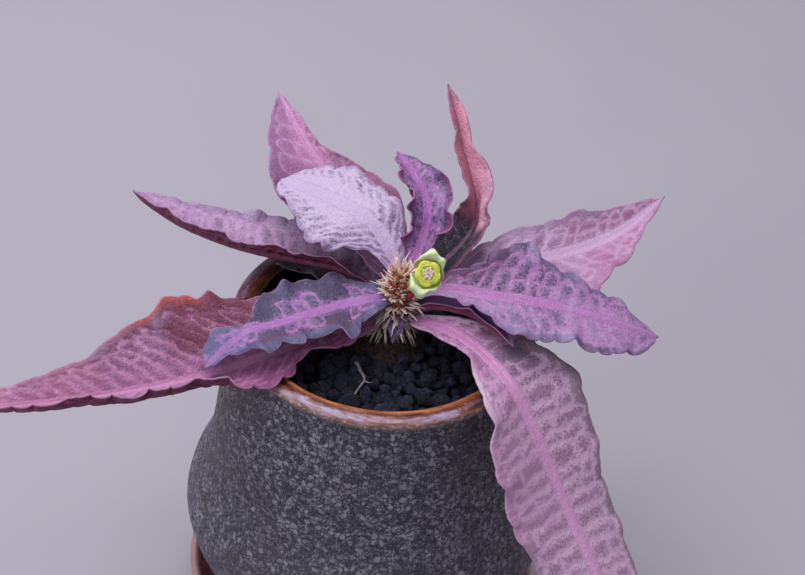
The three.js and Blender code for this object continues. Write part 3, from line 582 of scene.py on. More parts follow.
            (0.64, 1, -1.05, -0.25, (0.42, 0.13, 0.3), 0.6), (0.6, 1, 0.25, 1.05, (0.24, 0.07, 0.18), 0.8),
            (0.3, 0.8, 0.7, 1.05, (0.27, 0.17, 0.32), 0.5),
        ],
        stations=[
            [5, 0, 3.2, 1.2, 1.2, 20, 0], [17, 13, 3.6, 5, 6, 20, 5], [26.5, 19, 4.5, 7, 10, 20, 0],
            [36.5, 22, 5, 9, 14, 20, 0], [46.5, 27.5, 6, 8.5, 9, 20, 0], [53.5, 33, 7.5, 5.6, 3.6, 20, 0],
            [61, 41.5, 10, 0.4, 0.4, 10, 0],
        ]),
    "leaf_right_front": dict(
        slot="leaf_mauve", waves=6, phase=0.3, lobes=(0.5, 0.6, 4.4), crisp=0.12, cell=0.33, relief=0.14,
        ridge=0.2, rib=(1.6, 0.8), spacing=3.5, sweep=0.3, loop=0.74, lateral=0.6, gaps=0.12, spread=0.2,
        haze=0.25, net=0.6, painted_sheen=0.12, rib_tint=(0.46, 0.17, 0.47), vein=(0.43, 0.165, 0.45),
        tissue=(0.075, 0.043, 0.125), tissue_far=(0.16, 0.09, 0.24), outer=(0.13, 0.095, 0.22),
        crest=((0.33, 0.27, 0.48), 0.7),
        patches=[
            (0.12, 0.5, -1.05, -0.2, (0.36, 0.25, 0.48), 0.4),
            (0.58, 0.9, -0.8, 0.35, (0.56, 0.31, 0.62), 0.55),
            (0.1, 0.34, 0.55, 1.05, (0.12, 0.028, 0.095), 0.65),
            (0.88, 1, -1.05, 1.05, (0.18, 0.13, 0.27), 0.4),
        ],
        stations=[
            [4.5, -0.8, 9, 1, 1, 20, 0], [14, -0.2, 10.4, 4.5, 2.5, 30, 0],
            [20.8, -1.5, 11, 9.5, 5.4, 28, -4], [28.4, -1.3, 10.5, 14.5, 10.2, 20, -12],
            [37, -0.6, 9, 11.5, 9, 10, -12], [46, 0.7, 6, 9.5, 9, 5, -15],
            [54.5, 2.7, 2.2, 7.6, 6.2, 0, -18], [60, 4.6, -1, 0.6, 0.6, 0, -10],
        ]),
    "leaf_right_folded": dict(
        slot="leaf_dark", waves=3, phase=0.3, ruffle=0.3, scallop=0.04, lobes=(0.3, 0.2, 4), cell=0.3,
        relief=0.05, ridge=0.05, rib=(0.6, 0.3), spacing=3, sweep=0.5, loop=0.6, lateral=0.2, gaps=0.3,
        spread=0, net=0.15, rib_tint=(0.2, 0.12, 0.36), vein=(0.17, 0.075, 0.27),
        tissue=(0.045, 0.02, 0.075), tissue_far=(0.06, 0.02, 0.08), outer=(0.045, 0.02, 0.07),
        crest=((0.3, 0.12, 0.36), 0.5),
        patches=[
            (0.1, 0.8, -0.45, 0.4, (0.2, 0.14, 0.42), 0.75), (0, 0.6, 0.4, 1.05, (0.24, 0.07, 0.3), 0.6),
            (0.5, 1, 0.5, 1.05, (0.1, 0.02, 0.06), 0.6),
        ],
        stations=[
            [4.5, -1.2, 5.2, 1, 1, 40, 45], [11, -0.4, 6, 2.4, 2.2, 45, 52],
            [18.2, -2.5, 6.4, 2.8, 2.6, 45, 55], [22.6, -6.1, 6.6, 2.2, 2.2, 42, 52],
            [27.7, -11.6, 6.2, 0.4, 0.4, 40, 45],
        ]),
    "leaf_front_drooping": dict(
        slot="leaf_rose", waves=7, ruffle=0.35, scallop=0.03, lobes=(0.3, 0.35, 6.5), crisp=0.06, cell=0.38,
        relief=0.14, ridge=0.4, rib=(1.9, 1.05), spacing=3.5, sweep=0.05, loop=0.86, lateral=0.62, gaps=0.03,
        spread=0.2, haze=0.5, net=1, painted_sheen=0.08, rib_tint=(0.78, 0.36, 0.68), vein=(0.74, 0.44, 0.69),
        tissue=(0.235, 0.11, 0.205), tissue_far=(0.31, 0.15, 0.265), outer=(0.31, 0.205, 0.295),
        crest=((0.4, 0.3, 0.42), 0.3),
        patches=[
            (0, 0.26, -1, 0.6, (0.42, 0.12, 0.34), 0.6), (0.2, 0.28, 0.15, 0.72, (0.085, 0.07, 0.13), 0.7),
            (0.2, 0.6, -0.95, -0.1, (0.54, 0.24, 0.47), 0.45),
            # A whitish strip on the right margin near the base: a painted highlight where the folded edge
            # catches the light.
            (0.24, 0.34, -1.05, -0.86, (0.7, 0.56, 0.7), 0.9),
            (0.34, 0.6, -1.05, -0.9, (0.62, 0.26, 0.52), 0.8), (0.34, 1, -1, 0.85, (0.58, 0.34, 0.53), 0.3),
            (0.25, 0.9, 0.93, 1.05, (0.24, 0.175, 0.21), 0.7),
        ],
        stations=[
            [4.5, -2, 3, 1.2, 1.2, 10, 10], [13, -6.2, 4.3, 4.5, 4.5, 8, 15], [20, -11, 3.8, 8, 4.5, 4, 20],
            [27, -18, 1.5, 14.5, 10, 2, 20], [32, -22.5, -4.5, 17, 16, 0, 20],
            [37.5, -28, -12.5, 15, 18, -5, 18], [43, -34, -20.5, 13.5, 17, -12, 15],
            [49.7, -41.7, -29, 13, 13.5, -18, 10], [56, -50, -38, 9.5, 9, -15, 0],
            [61, -57.5, -46, 0.4, 0.4, 0, 0],
        ]),
    "leaf_front_small": dict(
        slot="leaf_dark", waves=1, ruffle=0.1, scallop=0, lobes=(0, 0, 4), crisp=0.03, point=(0.35, 1.25),
        cell=0.2, relief=0.03, ridge=0.05, rib=(0.3, 0.15), spacing=2, sweep=0.5, loop=0.7, lateral=0.12,
        gaps=0, spread=0, net=0.1, painted_sheen=0, rib_tint=(0.12, 0.05, 0.19), vein=(0.12, 0.05, 0.19),
        tissue=(0.06, 0.018, 0.075), tissue_far=(0.085, 0.045, 0.17), outer=(0.055, 0.022, 0.085),
        crest=((0.1, 0.05, 0.16), 0.2),
        stations=[
            [2.8, 1, 3, 1.2, 1.2, 10, 10], [2.5, -3.6, 4.4, 1.9, 2, 10, 10],
            [2.4, -6.2, 3, 1.6, 1.6, 10, 10], [2.2, -8.8, 1.2, 0.4, 0.4, 10, 10],
        ]),
}

LEAST_WIDTH = 0.4
SIDE_LAG = 0.37
QUICK_RATE = 1.9
QUICK_HEIGHT = 0.45
QUICK_LOBE = 0.5
WAVE_POWER = 2.2
LEAF_THICKNESS = 0.5        # of the tissue; a living blade is thinner than the part's solid
RIB_THICKNESS = 0.9         # how much the rib adds below the blade
VEIN_THICKNESS = 0.18
CRISP_LENGTH = 2.6          # between the finest waves along a margin
LOBE_ROLL = 1.1             # of a lobe's height against its reach
LOBE_FAN = 0.55             # how far a lobe spreads along the leaf, for each millimetre of its reach
STATION_SIZE = 9            # numbers in a full row of stations
MEASURE_STEPS = 60          # for a leaf's length, before its rows are counted
FIRST_LEAF_SEED = 3
SEEDS_A_LEAF = 10
DRAWS = 128                 # random values, which come round again where a leaf has more cells
CROSSED_SHARE = 0.6         # of the cells that a vein crosses
NO_VEIN = 9.0               # stands for a place that is far from any vein

LEAF_FIELDS = ("vein", "beyond", "edge", "rib", "flat_a", "flat_b", "along", "across", "tone", "crest")


def blade_middle(leaf, along, across):
    """Points of the blade's middle surface, along by across, its length, widths and waves' height."""
    nudge = 1e-3
    here = spline(leaf["stations"], along)
    ahead = spline(leaf["stations"], np.minimum(along + nudge, 1))
    behind = spline(leaf["stations"], np.maximum(along - nudge, 0))
    heading = unit((ahead - behind)[:, :3])
    left = unit(np.stack([-heading[:, 1], heading[:, 0], 0 * heading[:, 0]], -1))
    up = np.cross(heading, left)
    is_left = (across >= 0)[None, :]
    side = np.where(is_left, 1.0, -1.0)
    share = np.abs(across)[None, :]
    rows = along[:, None]

    def own(column):
        """What the stations say for the half blade that each point lies on."""
        return np.where(is_left, here[:, column, None], here[:, column + 1, None])

    width = np.maximum(own(3), LEAST_WIDTH)
    rise = np.radians(own(5))
    curl = np.radians(own(7))
    curl = np.where(curl == 0, 1e-4, curl)
    angle = rise + curl * share

    # The part's own waves
    phase = leaf["phase"] + np.where(is_left, 0, SIDE_LAG)
    turn = 2 * np.pi * (leaf["waves"] * rows + phase)
    quick = 2 * np.pi * (QUICK_RATE * leaf["waves"] * rows + 1.7 * phase + 0.2)
    fade = np.sqrt(np.maximum(np.sin(np.pi * rows), 0))
    scallop = 1 + leaf["scallop"] * share ** 2 * fade * (np.cos(turn) + QUICK_LOBE * np.cos(quick))
    wave = leaf["ruffle"] * share ** WAVE_POWER * fade * (np.sin(turn) + QUICK_HEIGHT * np.sin(quick))

    # Finer waves and rolled lobes, which hang on a side that faces the viewer
    length = walked(here[:, :3])
    run = length[:, None]
    narrow = fade * np.minimum(1, width / 5)
    crisp = np.sin(2 * np.pi * run / CRISP_LENGTH + 3 * np.sin(0.7 * run) + side)
    wave = wave + leaf["crisp"] * share ** 5 * crisp * narrow
    left_lobe, right_lobe, lobe_length = leaf["lobes"]
    lobe = np.where(is_left, left_lobe, right_lobe)
    beat = np.pi * (run + 0.9 * np.sin(0.45 * run + side)) / lobe_length + side
    bulge = lobe * (np.sqrt(np.sin(beat) ** 2 + 0.015) - 0.65)
    rolled = LOBE_ROLL * bulge * share ** 4 * narrow
    crest = (wave + rolled) / (leaf["ruffle"] + 0.6 * lobe + 1e-3)
    wave = wave + rolled * np.tanh(4 * side * left[:, 1:2])
    fan = -LOBE_FAN * lobe * np.sin(2 * beat) * share ** 3 * narrow
    sharp = 1 - 0.8 * smooth(rows, 0.955, 1.0)
    if "point" in leaf:
        sharp = sharp * (1.35 - 1.2 * smooth(rows, *leaf["point"]))

    reach = (width * scallop * sharp + bulge * narrow * share ** 3) / curl
    outward = reach * (np.sin(angle) - np.sin(rise)) - wave * np.sin(angle)
    upward = reach * (np.cos(rise) - np.cos(angle)) + wave * np.cos(angle)
    points = here[:, None, :3] + np.array([0, 0, RIM_HEIGHT])
    points = points + left[:, None] * (side * outward)[..., None] + up[:, None] * upward[..., None]
    points = points + heading[:, None] * fan[..., None]
    return points, length, width, crest


def vein_fields(leaf, length, width, across, seed):
    """How far each point is outside the veins, beyond their loops, inside the margin and outside the rib, in
    millimetres, its place on the flat blade, and a tone for its cell."""
    draws = np.random.RandomState(seed)
    jitter = draws.uniform(-0.2, 0.2, DRAWS)
    loops = draws.uniform(-0.09, 0.07, DRAWS)
    crossing = draws.uniform(0.3, 0.62, DRAWS)
    has_crossing = draws.uniform(0, 1, DRAWS) < CROSSED_SHARE
    closed = draws.uniform(0, 1, DRAWS) >= leaf["gaps"]
    a = length[:, None] + 0 * width
    b = np.abs(across)[None, :] * width
    side = np.where(across < 0, -1.0, 1.0)[None, :]
    wander_a = a + 0.42 * ripple(a / 4, side * b / 4, seed + 1)
    wander_b = b + 0.32 * ripple(a / 3, side * b / 3, seed + 2)
    share = wander_b / width

    # The lateral veins to either side of a point, counted along the leaf
    lead = leaf["sweep"] * width * (0.7 * share + 0.5 * share ** 2)
    number = (wander_a - lead) / leaf["spacing"] + np.where(side > 0, 0.0, 0.43) + 8
    floor = np.floor(number).astype(int)
    lower = np.full(number.shape, -1e3)
    upper = np.full(number.shape, 1e3)
    cell = floor
    for shift in (-1, 0, 1, 2):
        index = floor + shift
        place = index + jitter[index % DRAWS]
        below = place <= number
        cell = np.where(below & (place > lower), index, cell)
        lower = np.where(below, np.maximum(lower, place), lower)
        upper = np.where(~below, np.minimum(upper, place), upper)
    cell = cell % DRAWS
    to_lateral = np.minimum(number - lower, upper - number) * leaf["spacing"] / math.hypot(1, leaf["sweep"])

    # The loop that closes a cell, and the vein that may cross it
    middle = 2 * (number - lower) / (upper - lower) - 1
    arch = 0.42 * leaf["spacing"] * (0.72 + 0.28 * smooth(width, 2, 9))
    arch = arch * (1 - np.sqrt(np.maximum(1 - middle ** 2, 0)))
    loop_share = np.where(closed[cell], leaf["loop"] + loops[cell], 0.4 * leaf["loop"])
    beyond = wander_b - (width * loop_share - arch)
    half = 0.5 * leaf["lateral"] * (1.25 - 0.5 * share)
    lateral = to_lateral - half + 1.2 * np.maximum(beyond, 0)
    loop = np.where(closed[cell], np.abs(beyond) - 0.85 * half, NO_VEIN)
    crosses = has_crossing[cell] & closed[cell] & (width > 5)
    cross = np.where(crosses, np.abs(wander_b - width * crossing[cell]) - 0.5 * half, NO_VEIN)
    along = length[:, None] / length[-1]
    rib_half = between(leaf["rib"], along) * (1 + 0.12 * ripple(a / 2, side, seed + 3))
    rib_half = np.minimum(rib_half, 0.42 * width)
    rib = b - rib_half
    vein = np.minimum(np.minimum(lateral, loop), np.minimum(cross, rib))
    return dict(vein=vein, beyond=beyond, edge=width - b, rib=rib, rib_half=rib_half, flat_a=a,
                flat_b=side * b, along=along + 0 * b, across=across[None, :] + 0 * b,
                tone=np.sin(37.0 * cell) * 0.5 + 0.5)


def build_leaf(name, leaf, seed):
    leaf = {**PLAIN_LEAF, **leaf}
    leaf["stations"] = [row + [0] * (STATION_SIZE - len(row)) for row in leaf["stations"]]
    widest = max(max(row[3:5]) for row in leaf["stations"])
    total = walked(curve(leaf["stations"], MEASURE_STEPS)[:, :3])[-1]
    along = np.linspace(0, 1, int(total / leaf["cell"]) + 1)
    across = np.linspace(-1, 1, 2 * int(widest / leaf["cell"]) + 3)
    middle, length, width, crest = blade_middle(leaf, along, across)
    fields = vein_fields(leaf, length, width, across, seed)
    fields["crest"] = crest
    rows = along[:, None]
    fade = smooth(fields["edge"], 0, 1.6) * smooth(rows, 0, 0.08)

    # Above, the tissue swells between the veins and the rib stands up; below, the veins and the rib do
    pucker = 0.35 * ripple(fields["flat_a"] / 1.7, fields["flat_b"] / 1.7, seed + 4)
    relief = leaf["relief"] * fade * (1.5 * (smooth(fields["vein"], -0.3, 1.3) - 0.5) + pucker)
    over_rib = np.clip(-fields["rib"] / (fields["rib_half"] + 1e-6), 0, 1)
    relief = relief + leaf["ridge"] * fade * np.sqrt(over_rib * (2 - over_rib)) * (1 - 0.5 * rows)
    half = 0.5 * LEAF_THICKNESS * (0.45 + 0.55 * smooth(fields["edge"], 0, 0.5))
    depth = half + RIB_THICKNESS * (1 - 0.6 * rows) * smooth(-fields["rib"], -0.5, 0.6) * fade
    depth = depth + VEIN_THICKNESS * fade * (1 - smooth(fields["vein"], -0.1, 0.5))
    normal = normals(middle)
    points, faces = slab(middle + normal * (relief + half)[..., None],
                         middle + normal * (relief - depth)[..., None])
    sheet = Sheet(LEAF_FIELDS)
    sheet.add(points, faces, (0, 1, 0), **{label: np.tile(fields[label].ravel(), 2) for label in LEAF_FIELDS})
    sheet.piece(name + "_blade", name, [leaf_upper(name, leaf), leaf_under(name)])


def leaf_upper(name, leaf):
    """Dark tissue in cells between fuzzy pink veins, a plain outer band, and a pale line on the margin that
    is a painted highlight.
    """
    g = Graph(name + "_upper", specular=0.35)
    flat = g.flat()
    along, across, rib = g.field("along"), g.field("across"), g.field("rib")
    broad = g.wander(0.9, 0.9, vector=flat)
    ragged = g.wander(0.8, 2.6, 3, 0.65, flat)
    vein = g.field("vein") + broad + ragged - g.step(along, 0.3, 1.0, 0.0, leaf["spread"])
    in_vein = g.step(vein, 0.30, -0.15)
    near = g.step(vein, 1.5, 0.0)

    # Tissue in the cells, paler towards the tip
    drift = g.wander(0.8, 0.16, 2, 0.5, flat)
    mottle = g.noise(1.5, 5, 0.7, flat)
    tissue = g.paint(leaf["tissue"], leaf["tissue_far"], along + drift, 0.25, 0.85)
    tissue = g.paint(tissue, leaf["tissue_far"], g.field("tone"), 0.2, 1.0, 0.3)
    dim = g.dimmed(tissue, (0.52, 0.52, 0.62))
    tissue = g.paint(tissue, dim, mottle, 0.52, 0.36, 0.9 - 0.5 * leaf["net"])
    tissue = g.paint(tissue, leaf["vein"], mottle, 0.54, 0.68, 0.12 + 0.33 * leaf["net"])

    # Outer band, with a painted highlight on its waves' crests and painted shade in their hollows
    colour = g.paint(tissue, leaf["outer"], g.field("beyond") + broad + ragged, 0.0, 0.8, 0.85)
    crest_highlight_colour, crest_highlight_share = leaf["crest"]
    crest = g.field("crest") + ragged
    colour = g.paint(colour, crest_highlight_colour, crest, 0.0, 0.8, crest_highlight_share)
    colour = g.paint(colour, g.dimmed(colour, (0.58, 0.40, 0.52)), crest, -0.15, -0.8, 0.6)

    # Haze round the veins, and the net that grows out of them into the cells
    haze = near * g.step(g.noise(0.8, vector=flat), 0.30, 0.64)
    colour = g.mix(haze * leaf["haze"], colour, leaf["vein"])
    apart = g.cells(1.0, g.bent(flat, 1.3, 0.5), "DISTANCE_TO_EDGE") - near * 0.12
    mesh = g.step(apart, 0.13, 0.0) * g.step(g.noise(0.7, vector=flat), 0.28, 0.46)
    net_colour = g.mix(0.3, leaf["vein"], PALE_LILAC)
    colour = g.mix(mesh * (near * 0.5 + 0.5) * leaf["net"], colour, net_colour)

    # Veins and rib
    vein_colour = g.paint(leaf["vein"], PALE_LILAC, g.noise(0.8, 4, 0.65, flat), 0.42, 0.70, 0.35)
    vein_colour = g.paint(vein_colour, colour, g.noise(3.4, vector=flat), 0.50, 0.32, 0.45)
    colour = g.mix(in_vein, colour, vein_colour)
    colour = g.paint(colour, g.dimmed(colour, (0.5, 0.42, 0.52)), rib, 0.75, 0.1, 0.35)
    fibre = g.noise(1.2, 4, 0.65, g.scaled(flat, (0.3, 2.6, 1.0)))
    rib_colour = g.paint(leaf["rib_tint"], PALE_LILAC, fibre, 0.50, 0.70, 0.35)
    rib_colour = g.paint(rib_colour, ORCHID, along, 0.25, 0.0, 0.5)
    colour = g.paint(colour, rib_colour, ragged * 0.35 + rib, 0.14, -0.14)

    # Patches, which leave the veins partly bare
    place = along + drift * 0.12
    side = across + broad * 0.2
    bare = in_vein * -leaf["keep"] + 1.0
    for start, stop, right, left, tint, share in leaf["patches"]:
        here = g.step(place, start - 0.07, start + 0.05) * g.step(place, stop + 0.07, stop - 0.05)
        here = here * g.step(side, right - 0.12, right + 0.08) * g.step(side, left + 0.12, left - 0.08)
        colour = g.mix(here * bare * share, colour, tint)

    # Painted sky sheen in broad pale patches, fine grain, pale specks, and the pale line on the margin, which
    # is a painted highlight
    painted_sheen = g.step(g.noise(0.16, 3, 0.55, flat), 0.42, 0.66, 0.0, leaf["painted_sheen"])
    colour = g.mix(painted_sheen * g.step(mottle, 0.36, 0.56, 0.5, 1.0), colour, PALE_LILAC)
    salt = g.noise(5.0, 2, 0.7, flat)
    colour = g.paint(colour, PALE_LILAC, salt, 0.54, 0.72, 1.6 * leaf["painted_sheen"] + 0.08)
    colour = g.paint(colour, g.dimmed(colour, (0.5, 0.5, 0.6)), salt, 0.46, 0.28, 0.25)
    specks = g.step(g.cells(1.1, flat), 0.16, 0.08) * g.step(g.noise(0.5, 2, 0.5, flat), 0.52, 0.60)
    colour = g.mix(specks * 0.7, colour, PALE_LILAC)
    # The pale line on the margin is a painted highlight where the leaf's edge catches the light.
    line = g.step(g.field("edge") + ragged * 0.4, 0.30, 0.10)
    line = line * g.step(g.noise(0.22, 2, 0.5, flat), 0.40, 0.58, 0.25, 0.85)
    colour = g.mix(line, colour, g.mix(0.5, leaf["vein"], PALE_PINK))
    height = g.cells(4.5, flat, "SMOOTH_F1") * 0.5 + mottle * 1.3 - mesh * 0.5
    return g.finish(colour, height, 0.12, mottle * 0.35 + 0.26)


def leaf_under(name):
    """Dark red underside with its veins raised, and a pale pink line on its margin that is a painted
    highlight.
    """
    g = Graph(name + "_under", roughness=0.5, specular=0.3)
    flat = g.flat()
    vein = g.field("vein")
    colour = g.paint(MAROON, CRIMSON, g.noise(0.35, vector=flat), 0.35, 0.7)
    colour = g.paint(colour, (0.28, 0.09, 0.16), vein, 0.5, -0.1, 0.45)
    colour = g.paint(colour, PLUM, g.noise(3.0, vector=flat), 0.45, 0.7, 0.4)
    # The pale pink line on the margin is a painted highlight where the edge catches the light.
    colour = g.paint(colour, PALE_PINK, g.field("edge"), 0.36, 0.16)
    return g.finish(colour, g.noise(2.5, 4, vector=flat) + g.step(vein, 0.4, -0.1), 0.08)


# Turned bodies

def smooth_profile(outline, spacing):
    """The same outline with more points: a centripetal Catmull-Rom curve, walked at even steps."""
    table = np.array(outline, float)
    ends = np.concatenate([[2 * table[0] - table[1]], table, [2 * table[-1] - table[-2]]])
    parts = []
    for index in range(len(table) - 1):
        a, b, c, d = ends[index:index + 4]
        steps = max(2, int(np.linalg.norm(c - b) / spacing) + 1)
        t = np.arange(steps)[:, None] / steps
        knot = [max(np.linalg.norm(q - p), 1e-6) ** 0.5 for p, q in ((a, b), (b, c), (c, d))]
        tangent_b = (c - b) + knot[1] * ((b - a) / knot[0] - (c - a) / (knot[0] + knot[1]))
        tangent_c = (c - b) + knot[1] * ((d - c) / knot[2] - (d - b) / (knot[1] + knot[2]))
        cube = 2 * b - 2 * c + tangent_b + tangent_c
        square = -3 * b + 3 * c - 2 * tangent_b - tangent_c
        parts.append(b + tangent_b * t + square * t ** 2 + cube * t ** 3)
    return np.concatenate([*parts, table[-1:]])


def lathe(profile, sides):
    """Rings of points, one for each [radius, height], and their faces."""
    turn = turns(sides)
    radius, height = profile[:, 0:1], profile[:, 1:2]
    points = np.stack([radius * np.cos(turn), radius * np.sin(turn), height + 0 * turn], -1)
    return points, [grid_faces(len(profile), sides, closed=True, flipped=True)]


# Saucer

SAUCER_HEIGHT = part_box("saucer")[1].z / MM
SAUCER_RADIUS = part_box("saucer")[1].x / MM
SAUCER_FOOT = 31
SAUCER_WALL = 2.6
SAUCER_SIDES = 180
SAUCER_SPACING = 1.1

SAUCER_OUTLINE = [
    [0.01, 0], [SAUCER_FOOT - 4, 0], [SAUCER_FOOT - 1, 0], [SAUCER_FOOT, 0.1], [SAUCER_FOOT + 2, 0.6],
    [SAUCER_RADIUS - 2.2, 5.2], [SAUCER_RADIUS - 0.6, SAUCER_HEIGHT - 2.6],
    [SAUCER_RADIUS, SAUCER_HEIGHT - 0.9], [SAUCER_RADIUS - 0.35, SAUCER_HEIGHT - 0.2],
    [SAUCER_RADIUS - 0.95, SAUCER_HEIGHT], [SAUCER_RADIUS - 1.6, SAUCER_HEIGHT - 0.25],
    [SAUCER_RADIUS - 2, SAUCER_HEIGHT - 0.9], [SAUCER_RADIUS - 2.2 - SAUCER_WALL, 5.4],
    [SAUCER_FOOT + 0.4, SAUCER_WALL + 0.3], [SAUCER_FOOT - 1.5, SAUCER_WALL], [0.01, SAUCER_WALL],
]


def build_saucer():
    profile = smooth_profile(SAUCER_OUTLINE, SAUCER_SPACING)
    profile[:, 1] = np.clip(profile[:, 1], 0, SAUCER_HEIGHT)
    sheet = Sheet()
    sheet.add(*lathe(profile, SAUCER_SIDES))
    g = Graph("saucer_glaze", Coat_Weight=0.35, Coat_Roughness=0.12)
    height = g.part("Z")
    colour = g.paint((0.16, 0.055, 0.060), (0.30, 0.115, 0.125), g.noise(0.22, 4), 0.35, 0.68)
    # The pale pink on the lip's top is a painted highlight where the rim catches the light.
    lip_highlight_height = height + g.noise(0.5) * 1.2
    colour = g.paint(colour, (0.48, 0.27, 0.27), lip_highlight_height, SAUCER_HEIGHT - 1.2, SAUCER_HEIGHT + 0.3, 0.85)
    colour = g.paint(colour, (0.03, 0.012, 0.012), g.noise(2.6), 0.6, 0.72, 0.5)
    foot = g.step(height, 1.0, 0.2)
    colour = g.mix(foot, colour, (0.30, 0.15, 0.10))
    material = g.finish(colour, g.noise(0.8, 4), 0.12, g.step(foot, 0.2, 0.8, 0.24, 0.75))
    sheet.piece("saucer_body", "saucer", [material])


# Pot

POT_FOOT = SAUCER_WALL + 0.3
POT_FLOOR = POT_FOOT + 4.4
DRAIN_RADIUS = 4
POT_SIDES = 240
POT_SPACING = 0.9
GLAZE_START = (6.5, 9)      # how far down from the lip the rough glaze begins
GLAZE_BUMP = 0.10
GLAZE_SEED = 71
OVAL = 0.08                 # by which the pot is out of round

POT_OUTLINE = [
    [DRAIN_RADIUS, POT_FOOT], [24, POT_FOOT], [25.5, POT_FOOT], [27.4, POT_FOOT + 0.7], [33.4, 12], [37, 17],
    [40, 23], [41.5, 29.5], [40.4, 36], [38, 41.5], [36.4, 48], [34.7, 63], [33.2, 71.5], [31.6, 78.4],
    [32.7, 80.3], [33.1, 81.2], [32.4, 81.8], [31.2, RIM_HEIGHT], [29, 81.9], [28.2, 81.3], [27.9, 80.2],
    [28.6, 76.5], [31.6, 55], [33, 46], [36.4, 33], [34, 20], [27, 10], [20, POT_FLOOR],
    [DRAIN_RADIUS, POT_FLOOR], [DRAIN_RADIUS, POT_FOOT],
]

# Each size of flake: how many to a millimetre, two thresholds, half a crack's width and its strength
FLAKES = ((0.75, 0.42, 0.54, 0.04, 1.0), (1.3, 0.40, 0.54, 0.04, 0.8), (2.3, 0.34, 0.50, 0.05, 0.55))


def build_pot():
    profile = smooth_profile(POT_OUTLINE, POT_SPACING)
    profile[:, 1] = np.clip(profile[:, 1], POT_FOOT, RIM_HEIGHT)
    top = int(np.argmax(profile[:, 1]))
    length = walked(profile)
    run = length[top] - length          # above 0 on the outside, below 0 on the inside
    points, faces = lathe(profile, POT_SIDES)
    turn = turns(POT_SIDES)
    way = np.stack([np.cos(turn), np.sin(turn), 0 * turn], -1)
    down = run[:, None]
    bumps = GLAZE_BUMP * ripple(12 * way[:, 0] + 0 * down, 12 * way[:, 1] + down / 2.4, GLAZE_SEED)
    bumps = bumps + OVAL * np.sin(2 * turn + 0.6) * smooth(down, 8, 30)
    points = points + way * (bumps * smooth(down, *GLAZE_START))[..., None]
    sheet = Sheet(("run",))
    sheet.add(points, faces, run=np.repeat(run, POT_SIDES))
    sheet.piece("pot_body", "pot", [pot_material()])


def pot_material():
    """Crawled slate glaze thick with paler flakes outside, brown gloss on the lip and inside, painted lilac
    sky reflection on the lip's top and painted shade on its far side.
    """
    g = Graph("pot_clay", specular=0.4)
    run = g.field("run")
    ragged = run + g.wander(1.6, 0.30) + g.wander(0.5, 1.6, 2, 0.5)

    # Flakes of several sizes, with dark cracks between them
    bent = g.bent(g.place, 1.1, 0.6)
    lift = None
    for scale, low, high, thin, strength in FLAKES:
        own = g.add("SeparateColor", 0, {"Color": g.cells(scale, bent, output="Color")})
        flake = g.step(g.cells(scale, bent, "DISTANCE_TO_EDGE"), thin, thin + 0.12)
        flake = flake * g.step(own + g.wander(0.5, 2.2 * scale), low, high) * strength
        lift = flake if lift is None else g.math("MAXIMUM", lift, flake)
    lift = lift * g.step(g.noise(0.16), 0.25, 0.6, 0.6, 1.0)
    ground = g.paint((0.060, 0.057, 0.082), (0.120, 0.113, 0.162), g.part("Z"), 62, 30)
    ground = g.paint(ground, (0.020, 0.018, 0.028), g.noise(2.8, 3, 0.7), 0.60, 0.42, 0.8)
    outside = g.mix(lift, ground, g.paint((0.150, 0.142, 0.190), (0.38, 0.36, 0.45), g.noise(0.6), 0.3, 0.7))
    outside = g.paint(outside, (0.110, 0.078, 0.086), g.noise(0.05, 2, 0.5), 0.48, 0.66, 0.45)

    # Bands of the lip, from the inside out; painted shade darkens them on the far side
    flat = g.scaled(g.place, (0.22, 0.22, 0.0))
    streak = g.noise(1.0, 4, 0.65, g.moved(flat, g.add("CombineXYZ", 0, {"Z": run * 0.9})))
    slow = g.noise(0.10)
    # back marks the far side of the pot, where painted shade darkens the lip and thins its orange line.
    back = g.step(g.part("Y"), -14, 8)
    inside = g.paint((0.012, 0.006, 0.010), (0.085, 0.024, 0.012), streak, 0.40, 0.70)
    orange = g.paint((0.26, 0.070, 0.025), (0.52, 0.20, 0.09), streak, 0.35, 0.65)
    brown = g.paint((0.075, 0.018, 0.012), (0.20, 0.055, 0.035), streak, 0.35, 0.65)
    # Brown glaze with lilac streaks of painted sky reflection on the lip's top.
    sky_reflection_band = g.paint((0.22, 0.085, 0.095), (0.34, 0.27, 0.48), streak, 0.44, 0.60)
    sky_reflection_band = g.paint(sky_reflection_band, (0.36, 0.14, 0.10), g.noise(0.35), 0.48, 0.66, 0.6)
    tan = g.paint((0.17, 0.080, 0.070), (0.38, 0.24, 0.24), streak, 0.36, 0.64)
    lip = g.mix(g.step(ragged, -4.4, -3.0) * (back * -0.75 + 1.0), inside, orange)
    lip = g.paint(lip, brown, ragged, -1.9, -0.9)
    lip = g.mix(g.step(ragged, -0.7, 0.0) * g.step(slow, 0.60, 0.50, 0.35, 1.0), lip, sky_reflection_band)
    lip = g.paint(lip, tan, ragged, 1.1, 1.7)
    fleck = g.step(g.cells(0.9, bent), 0.50, 0.25) * g.step(ragged, 1.4, 2.3)
    lip = g.mix(fleck * g.step(slow, 0.40, 0.54, 0.3, 1.0) * 0.85, lip, (0.62, 0.50, 0.38))
    lip = g.mix(back * 0.8, lip, g.dimmed(lip, (0.28, 0.24, 0.26)))
    below = g.step(ragged + lift * 0.8, 4.0, 5.2)
    rough = below * (lift * -0.12 + 0.42) + streak * 0.14 + 0.10
    height = (lift + g.noise(3.2) * 0.5) * below + g.noise(0.7) * 0.35
    return g.finish(g.mix(below, lip, outside), height, 0.32, rough)


# Soil

